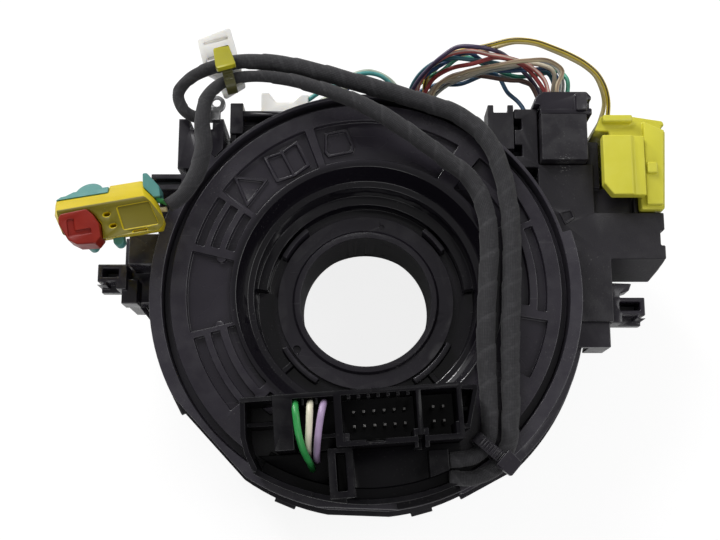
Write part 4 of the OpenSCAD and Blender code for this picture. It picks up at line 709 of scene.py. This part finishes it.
def plastic(name, colour, cloud_colour, rough, dust, grain=0.00002, wear=0.25,
            wear_colour=(0.2, 0.2, 0.2, 1), through=0.0, specular=0.5, polish_and_painted_shade=None, powder=(), darker_tone=None,
            painted_shade_below=None):
    """Moulded plastic: two close colours in clouds, fine grain, hairline scuffs, worn edges and some dust.

    `polish_and_painted_shade` is (inner radius, outer radius, colour) of a ring that the core's polish left
    smoother and that is painted darker as shade. `powder` lists places (x, y, z) and reaches where white dust
    gathered.
    `darker_tone` is (direction, colour): faces that look that way take the colour as painted shade.
    `painted_shade_below` is (height, colour): what lies lower than that height takes the colour as painted
    shade.
    """
    material, tree, shader = new_material(name)
    surface = put(tree, "ShaderNodeGroup", node_tree=moulded_surface)
    edges = put(tree, "ShaderNodeGroup", node_tree=worn_edges)
    tone = blend(tree, remap(tree, surface.outputs["Clouds"], 0.35, 0.65), colour, cloud_colour)
    tone = blend(tree, maths(tree, "MULTIPLY", edges.outputs["Mask"], wear), tone, wear_colour)
    # Painted shade: faces turned towards the given direction take the darker colour, for the light they lack.
    if darker_tone:
        normal = put(tree, "ShaderNodeNewGeometry").outputs["Normal"]
        facing = put(tree, "ShaderNodeVectorMath", {0: normal, 1: darker_tone[0]}, operation="DOT_PRODUCT")
        tone = blend(tree, remap(tree, facing.outputs["Value"], 0.64, 0.86), tone, darker_tone[1])
    # Painted shade: what lies lower than the given height takes the darker colour.
    if painted_shade_below:
        height = put(tree, "ShaderNodeSeparateXYZ", {0: object_place(tree)}).outputs[2]
        tone = blend(tree, remap(tree, height, painted_shade_below[0] + LEVEL_BLEND, painted_shade_below[0]), tone, painted_shade_below[1])
    shine = maths(tree, "MULTIPLY_ADD", surface.outputs["Clouds"], 0.14, rough - 0.07)
    shine = maths(tree, "MULTIPLY_ADD", surface.outputs["Scuffs"], 0.18, shine)
    shine = maths(tree, "MULTIPLY_ADD", edges.outputs["Mask"], -0.14, shine)
    # The ring is smoother there, which is real polish, and darker, which is painted shade.
    if polish_and_painted_shade:
        inner, outer, painted_shade_colour = polish_and_painted_shade
        band = ring_mask(tree, inner, outer)
        tone = blend(tree, band, tone, painted_shade_colour)
        shine = maths(tree, "MULTIPLY_ADD", band, -0.12, shine)
    tone = blend(tree, maths(tree, "MULTIPLY", surface.outputs["Dust"], dust), tone, DUST_COLOUR)
    for spot, reach in powder:
        tone = blend(tree, powder_mask(tree, spot, reach, surface.outputs["Grain"]), tone, POWDER_COLOUR)
    tree.links.new(tone, shader.inputs["Base Color"])
    tree.links.new(shine, shader.inputs["Roughness"])
    bump(tree, shader, 0.6, grain, surface.outputs["Grain"])
    shader.inputs["Specular IOR Level"].default_value = specular
    if through:
        shader.inputs["Subsurface Weight"].default_value = through
        shader.inputs["Subsurface Radius"].default_value = (0.002, 0.0018, 0.0014)
        shader.inputs["Subsurface Scale"].default_value = 1.0
    return material


print("plastic ready")

# %% [markdown]
# The black pieces differ a little: the ring is the palest and the connector block the deepest. One black
# for all would look like a toy.

# %% The plastics of the part
BLACK = plastic("black moulding", (0.0165, 0.0142, 0.0198, 1), (0.023, 0.0202, 0.0272, 1), rough=0.25,
                dust=0.08)
# The funnel ring on the rotor face is painted darker: painted shade. Its lower roughness is real polish.
FACE = plastic("rotor moulding", (0.019, 0.0162, 0.0232, 1), (0.0265, 0.0232, 0.0315, 1), rough=0.28,
               dust=0.1, polish_and_painted_shade=(0.0262, 0.0372, (0.0075, 0.0064, 0.0095, 1)))
RING = plastic("ring moulding", (0.029, 0.0258, 0.0345, 1), (0.038, 0.0345, 0.0445, 1), rough=0.3, dust=0.1)
INK = plastic("deep black moulding", (0.0024, 0.002, 0.0034, 1), (0.0044, 0.0038, 0.0058, 1), rough=0.3,
              wear=0.1, dust=0.04, specular=0.22)
DARK = plastic("dark moulding", (0.0075, 0.0062, 0.0095, 1), (0.0118, 0.01, 0.0142, 1), rough=0.46,
               grain=0.00005, wear=0.15, dust=0.08, specular=0.4,
               powder=[((0.0552, 0.0372, 0.048), 0.0032), ((0.053, 0.0335, 0.048), 0.0022)])
MILK = plastic("milky moulding", (0.78, 0.77, 0.74, 1), (0.86, 0.85, 0.82, 1), rough=0.42, wear=0.1,
               wear_colour=(0.9, 0.9, 0.87, 1), dust=0.12, through=0.35)
LEMON = plastic("lemon moulding", (0.62, 0.58, 0.045, 1), (0.69, 0.645, 0.06, 1), rough=0.44, wear=0.2,
                wear_colour=(0.8, 0.78, 0.2, 1), dust=0.12, specular=0.35)
# The golden squib's faces that look up and a little towards -y take a dark olive: painted shade.
GOLDEN = plastic("golden moulding", (0.56, 0.43, 0.006, 1), (0.65, 0.5, 0.01, 1), rough=0.42, wear=0.2,
                 wear_colour=(0.75, 0.62, 0.08, 1), dust=0.12, specular=0.25,
                 darker_tone=((0.0, -0.25, 0.97), (0.15, 0.125, 0.009, 1)))
ORANGE = plastic("orange moulding", (0.2, 0.009, 0.004, 1), (0.25, 0.014, 0.007, 1), rough=0.4, wear=0.3,
                 wear_colour=(0.45, 0.06, 0.03, 1), dust=0.08, specular=0.28)
TEAL = plastic("teal moulding", (0.07, 0.235, 0.215, 1), (0.09, 0.28, 0.26, 1), rough=0.42, wear=0.3,
               wear_colour=(0.2, 0.42, 0.39, 1), dust=0.12, specular=0.35)
# Below 65.2 mm the lime strap curves down round the leads and takes a dark olive: painted shade.
LIME = plastic("lime moulding", (0.42, 0.385, 0.012, 1), (0.5, 0.465, 0.02, 1), rough=0.36, dust=0.08,
               painted_shade_below=(0.0652, (0.075, 0.072, 0.022, 1)), through=0.12)
BOARD = plastic("circuit board", (0.02, 0.1, 0.04, 1), (0.03, 0.13, 0.05, 1), rough=0.35, dust=0.1)
RIBBON = plastic("ribbon laminate", (0.68, 0.66, 0.58, 1), (0.74, 0.72, 0.65, 1), rough=0.3, dust=0.05)
print(len(bpy.data.materials), "materials so far")

# %% [markdown]
# ### Metal
#
# Only small parts are metal: pins, the clamp, screws and the earth terminal. Drawing leaves long streaks,
# so one noise is stretched along the part and moves the colour, the roughness and the height together.

# %% Function: metal
METAL_STRETCH = (1.0, 1.0, 40.0)


def metal(name, colour, rough=0.28):
    """Drawn or stamped metal: a metallic base with streaks in its roughness."""
    material, tree, shader = new_material(name)
    drawn = put(tree, "ShaderNodeMapping", {"Vector": object_place(tree), "Scale": METAL_STRETCH})
    streak = noise(tree, drawn.outputs[0], 160.0, 4.0)
    darker_tone = tuple(c * 0.72 for c in colour[:3]) + (1,)
    tree.links.new(blend(tree, remap(tree, streak, 0.35, 0.7), colour, darker_tone), shader.inputs["Base Color"])
    tree.links.new(maths(tree, "MULTIPLY_ADD", streak, 0.25, rough - 0.12), shader.inputs["Roughness"])
    bump(tree, shader, 0.3, 0.00001, streak)
    shader.inputs["Metallic"].default_value = 1.0
    return material


STEEL = metal("stamped steel", (0.62, 0.62, 0.63, 1))
TINNED = metal("tinned pin", (0.24, 0.235, 0.23, 1), rough=0.34)
print("metals:", STEEL.name, "and", TINNED.name)

# %% [markdown]
# ### Cloth tape
#
# Harness tape is a coarse black cloth: warp and weft show as tiny squares, and along each overlap the edge
# catches some light and dust. The pattern follows the tube, so it reads the UV map: u goes once round and v
# counts centimetres along the lead.

# %% Group: cloth tape
cloth_tape, g_in, g_out = effect(
    "cloth tape", {"Threads round": 34.0, "Threads along": 26.0, "Turns": 1.18},
    ["Thread", "Overlap", "Fluff"])


def threads(counter):
    """Row of threads across one direction: the absolute value of sin(pi x counter)."""
    wave = maths(cloth_tape, "SINE", maths(cloth_tape, "MULTIPLY", counter, math.pi))
    return maths(cloth_tape, "ABSOLUTE", wave)


uv = put(cloth_tape, "ShaderNodeUVMap", uv_map="UVMap").outputs[0]
u_part, v_part, _ = put(cloth_tape, "ShaderNodeSeparateXYZ", {0: uv}).outputs
weft = threads(maths(cloth_tape, "MULTIPLY", u_part, g_in.outputs["Threads round"]))
warp = threads(maths(cloth_tape, "MULTIPLY", v_part, g_in.outputs["Threads along"]))
cloth_tape.links.new(maths(cloth_tape, "MULTIPLY", weft, warp), g_out.inputs["Thread"])
windings = maths(cloth_tape, "MULTIPLY", v_part, g_in.outputs["Turns"])
climb = maths(cloth_tape, "FRACT", maths(cloth_tape, "SUBTRACT", windings, u_part))
cloth_tape.links.new(remap(cloth_tape, climb, 0.86, 0.95), g_out.inputs["Overlap"])
fibres = noise(cloth_tape, object_place(cloth_tape), 900.0, 4.0, 0.7)
cloth_tape.links.new(remap(cloth_tape, fibres, 0.5, 0.75), g_out.inputs["Fluff"])
print("group made:", cloth_tape.name)

# %% [markdown]
# Threads are a little paler than the gaps, and the overlaps take the fluff's pale colour, as fluff and as a
# painted highlight where the tape's edge catches light. Cloth is matte but glows at a grazing angle, hence
# the high roughness and some sheen.


# %% Function: cloth tape finish
def tape_finish(name, colour, thread_colour, fluff_and_highlight_colour):
    """Matte woven tape with a soft sheen."""
    material, tree, shader = new_material(name)
    cloth = put(tree, "ShaderNodeGroup", node_tree=cloth_tape)
    tone = blend(tree, cloth.outputs["Thread"], colour, thread_colour)
    # The pale colour along the overlaps is fluff and a painted highlight on the tape's edge.
    tone = blend(tree, maths(tree, "MULTIPLY", cloth.outputs["Overlap"], 0.16), tone, fluff_and_highlight_colour)
    tone = blend(tree, maths(tree, "MULTIPLY", cloth.outputs["Fluff"], 0.3), tone, fluff_and_highlight_colour)
    tree.links.new(tone, shader.inputs["Base Color"])
    shine = maths(tree, "MULTIPLY_ADD", cloth.outputs["Thread"], -0.12, 0.86)
    tree.links.new(shine, shader.inputs["Roughness"])
    height = maths(tree, "MULTIPLY_ADD", cloth.outputs["Fluff"], 0.4, cloth.outputs["Thread"])
    bump(tree, shader, 0.8, 0.00008, height)
    shader.inputs["Sheen Weight"].default_value = 0.1
    shader.inputs["Sheen Roughness"].default_value = 0.5
    return material


TAPE = tape_finish("black cloth tape", (0.011, 0.0105, 0.0125, 1), (0.031, 0.03, 0.034, 1),
                   (0.095, 0.094, 0.1, 1))
print("finish made:", TAPE.name)

# %% [markdown]
# ### Wire insulation
#
# Insulation is smooth and takes little grain, but its colour is never quite even. Some wires carry a thin
# stripe of a second colour along the top, which the UV map places.

# %% Function: wire insulation
STRIPE_HALF, STRIPE_BLEND = 0.07, 0.015
WIRE_ROUGH = 0.38
WIRE_DUST = (0.4, 0.38, 0.35, 1)


def insulation(name, colour, stripe=None):
    """Smooth wire insulation: close clouds of colour, a few dull spots and perhaps a stripe along the top.

    The stripe is where the share of the turn, u, differs from a quarter by less than STRIPE_HALF.
    """
    material, tree, shader = new_material(name)
    surface = put(tree, "ShaderNodeGroup", {"Grain": 5200.0, "Clouds": 190.0}, node_tree=moulded_surface)
    pale = tuple(min(1, c * 1.25 + 0.01) for c in colour[:3]) + (1,)
    tone = blend(tree, remap(tree, surface.outputs["Clouds"], 0.35, 0.7), colour, pale)
    if stripe:
        uv = put(tree, "ShaderNodeUVMap", uv_map="UVMap").outputs[0]
        turn = put(tree, "ShaderNodeSeparateXYZ", {0: uv}).outputs[0]
        off_top = maths(tree, "ABSOLUTE", maths(tree, "SUBTRACT", turn, 0.25))
        tone = blend(tree, remap(tree, off_top, STRIPE_HALF, STRIPE_HALF - STRIPE_BLEND), tone, stripe)
    tone = blend(tree, maths(tree, "MULTIPLY", surface.outputs["Dust"], 0.25), tone, WIRE_DUST)
    tree.links.new(tone, shader.inputs["Base Color"])
    tree.links.new(maths(tree, "MULTIPLY_ADD", surface.outputs["Clouds"], 0.2, WIRE_ROUGH - 0.1),
                   shader.inputs["Roughness"])
    bump(tree, shader, 0.3, 0.00002, surface.outputs["Grain"])
    return material


print("insulation ready")

# %% [markdown]
# The colours tell the circuits apart, and a stripe gives more codes. They are set as linear values, where
# a middle tone is about 0.2.

# %% Colours of the wires and of their stripes
STRIPES = {
    "airbag_wire_a": (0.05, 0.03, 0.008, 1), "beige_wire": (0.3, 0.2, 0.13, 1),
    "pink_wire": (0.62, 0.5, 0.42, 1), "green_wire": (0.1, 0.4, 0.28, 1),
    "grey_wire": (0.12, 0.12, 0.13, 1),
}
WIRE_COLOURS = {
    "violet_wire": (0.045, 0.028, 0.07, 1), "red_wire": (0.3, 0.04, 0.04, 1),
    "blue_wire": (0.02, 0.06, 0.15, 1), "blue_single": (0.03, 0.085, 0.16, 1),
    "green_wire": (0.02, 0.24, 0.15, 1), "pink_wire": (0.42, 0.1, 0.09, 1),
    "beige_wire": (0.46, 0.38, 0.24, 1), "cream_wire": (0.56, 0.51, 0.4, 1),
    "grey_wire": (0.34, 0.36, 0.32, 1), "brown_wire": (0.09, 0.045, 0.035, 1),
    "dark_wire": (0.03, 0.04, 0.035, 1), "teal_wire": (0.02, 0.1, 0.13, 1),
    "sensor_wire_a": (0.06, 0.28, 0.27, 1), "sensor_wire_b": (0.03, 0.07, 0.3, 1),
    "sensor_wire_c": (0.38, 0.44, 0.36, 1), "sensor_wire_d": (0.42, 0.44, 0.34, 1),
    "airbag_wire_a": (0.55, 0.42, 0.04, 1), "airbag_wire_b": (0.5, 0.43, 0.22, 1),
    "jumper_green": (0.03, 0.3, 0.07, 1), "jumper_white": (0.7, 0.66, 0.52, 1),
    "jumper_violet": (0.36, 0.26, 0.42, 1), "stub_green": (0.05, 0.36, 0.1, 1),
    "stub_beige": (0.62, 0.52, 0.3, 1),
}
print(len(WIRE_COLOURS), "wire colours,", len(STRIPES), "with a stripe")

# %% [markdown]
# ## Finishes
#
# Each piece gets one finish in its only material slot.

# %% Give every piece its finish
FINISH = {
    "rotor_disc": FACE, "hub_sleeve": BLACK, "cancel_cam": DARK, "sensor_gear": MILK,
    "rotor_terminal": DARK, "connector_block": INK, "block_shroud": INK, "header_pins": TINNED,
    "lead_tie": BLACK, "loom_tie": LIME, "white_plug": MILK, "earth_terminal": STEEL, "squib_body": GOLDEN,
    "squib_retainer": TEAL, "squib_lock": ORANGE, "stator_case": RING, "stator_base": DARK,
    "flat_cable": RIBBON, "stator_terminal": DARK, "sensor_case": DARK, "sensor_cover": BLACK,
    "sensor_board": BOARD, "sensor_plug": MILK, "harness_plug": MILK, "magnet_gear_a": MILK,
    "magnet_gear_b": MILK, "switch_bracket": BLACK, "clamp_band": STEEL, "clamp_screw": STEEL,
    "unit_housing": DARK, "unit_cover": BLACK, "unit_board": BOARD, "main_receptacle": DARK,
    "main_plug": BLACK, "plug_cover": BLACK, "aux_socket": DARK, "airbag_plug": LEMON, "airbag_lock": LEMON,
    "bracket_screws": STEEL,
}


def wear_finish(obj, material):
    """The piece's only material slot."""
    obj.data.materials.clear()
    obj.data.materials.append(material)


for node_name, obj in moulded.items():
    wear_finish(obj, FINISH[node_name])
for obj, node_name in ((lead, "lead_loom"), (branch, "branch_loom")):
    wear_finish(obj, TAPE)
for wire_name, (obj, _, _) in wires.items():
    wear_finish(obj, insulation(wire_name + " insulation", WIRE_COLOURS[wire_name], STRIPES.get(wire_name)))
for wire_name, obj in small_wires.items():
    wear_finish(obj, insulation(wire_name + " insulation", WIRE_COLOURS[wire_name]))
print("finished", len(bpy.data.materials), "materials")

# %% [markdown]
# ## Count of the cords
#
# The leads and wires are flexible.

print("cords declared:", 2 + len(wires))

# %% [markdown]
# ## Floor and light
#
# The photograph has a white ground and soft light from above, with one broad reflection. A big pale floor
# takes the part's soft shadow. The camera alone also sees a glow in it, which turns it nearly white without
# lighting the part.

# %% Floor
GLOW_SHARE, GLOW_STRENGTH = 0.72, 1.17


def floor_material():
    """Pale floor that the camera sees nearly white, with the shadow kept."""
    material, tree, shader = new_material("pale floor")
    shader.inputs["Base Color"].default_value = (0.86, 0.86, 0.86, 1)
    shader.inputs["Roughness"].default_value = 0.9
    glow = put(tree, "ShaderNodeEmission", {"Color": (1, 1, 1, 1), "Strength": GLOW_STRENGTH})
    rays = put(tree, "ShaderNodeLightPath")
    seen = maths(tree, "MULTIPLY", rays.outputs["Is Camera Ray"], GLOW_SHARE)
    mixed = put(tree, "ShaderNodeMixShader", {0: seen, 1: shader.outputs[0], 2: glow.outputs[0]})
    tree.links.new(mixed.outputs[0], tree.nodes["Material Output"].inputs["Surface"])
    return material


FLOOR_HALF = 3.0
corners = np.array([[-1, -1, 0], [1, -1, 0], [1, 1, 0], [-1, 1, 0]]) * FLOOR_HALF
floor_mesh = bpy.data.meshes.new("floor")
floor_mesh.from_pydata(corners.tolist(), [], [[0, 1, 2, 3]])
floor = bpy.data.objects.new("floor", floor_mesh)
bpy.context.scene.collection.objects.link(floor)
floor_mesh.materials.append(floor_material())
print("floor of", 2 * FLOOR_HALF, "m")

# %% [markdown]
# Three wide lamps stand round the part and light it softly. A small one, low behind it, draws the bright
# lines on the rims. The even sky fills the shadows.


# %% Lamps and world
def lamp(name, place, aim, size, watts):
    """Square area lamp at a place, turned towards a point."""
    data = bpy.data.lights.new(name, "AREA")
    data.size = size
    data.energy = watts
    obj = bpy.data.objects.new(name, data)
    obj.location = place
    x, y, z = np.subtract(aim, place)
    obj.rotation_euler = (math.atan2(math.hypot(x, y), -z), 0, math.atan2(x, -y) + math.pi)
    bpy.context.scene.collection.objects.link(obj)


lamp("key", (-0.42, 0.85, 0.8), (0, 0, 0.03), 0.55, 7.5)
lamp("fill", (0.7, 0.1, 0.7), (0, 0, 0.03), 0.6, 2.8)
lamp("front", (-0.1, -0.8, 0.6), (0, 0, 0.03), 0.6, 2)
lamp("glint", (-0.62, 0.8, 0.3), (0, 0, 0.05), 0.1, 4)

world = bpy.data.worlds.new("studio")
bpy.context.scene.world = world
world.use_nodes = True
sky = world.node_tree.nodes["Background"]
sky.inputs["Color"].default_value = (1, 1, 1, 1)
sky.inputs["Strength"].default_value = 0.24
bpy.context.scene.view_settings.view_transform = "Standard"
print(len(bpy.data.lights), "lamps and a sky")
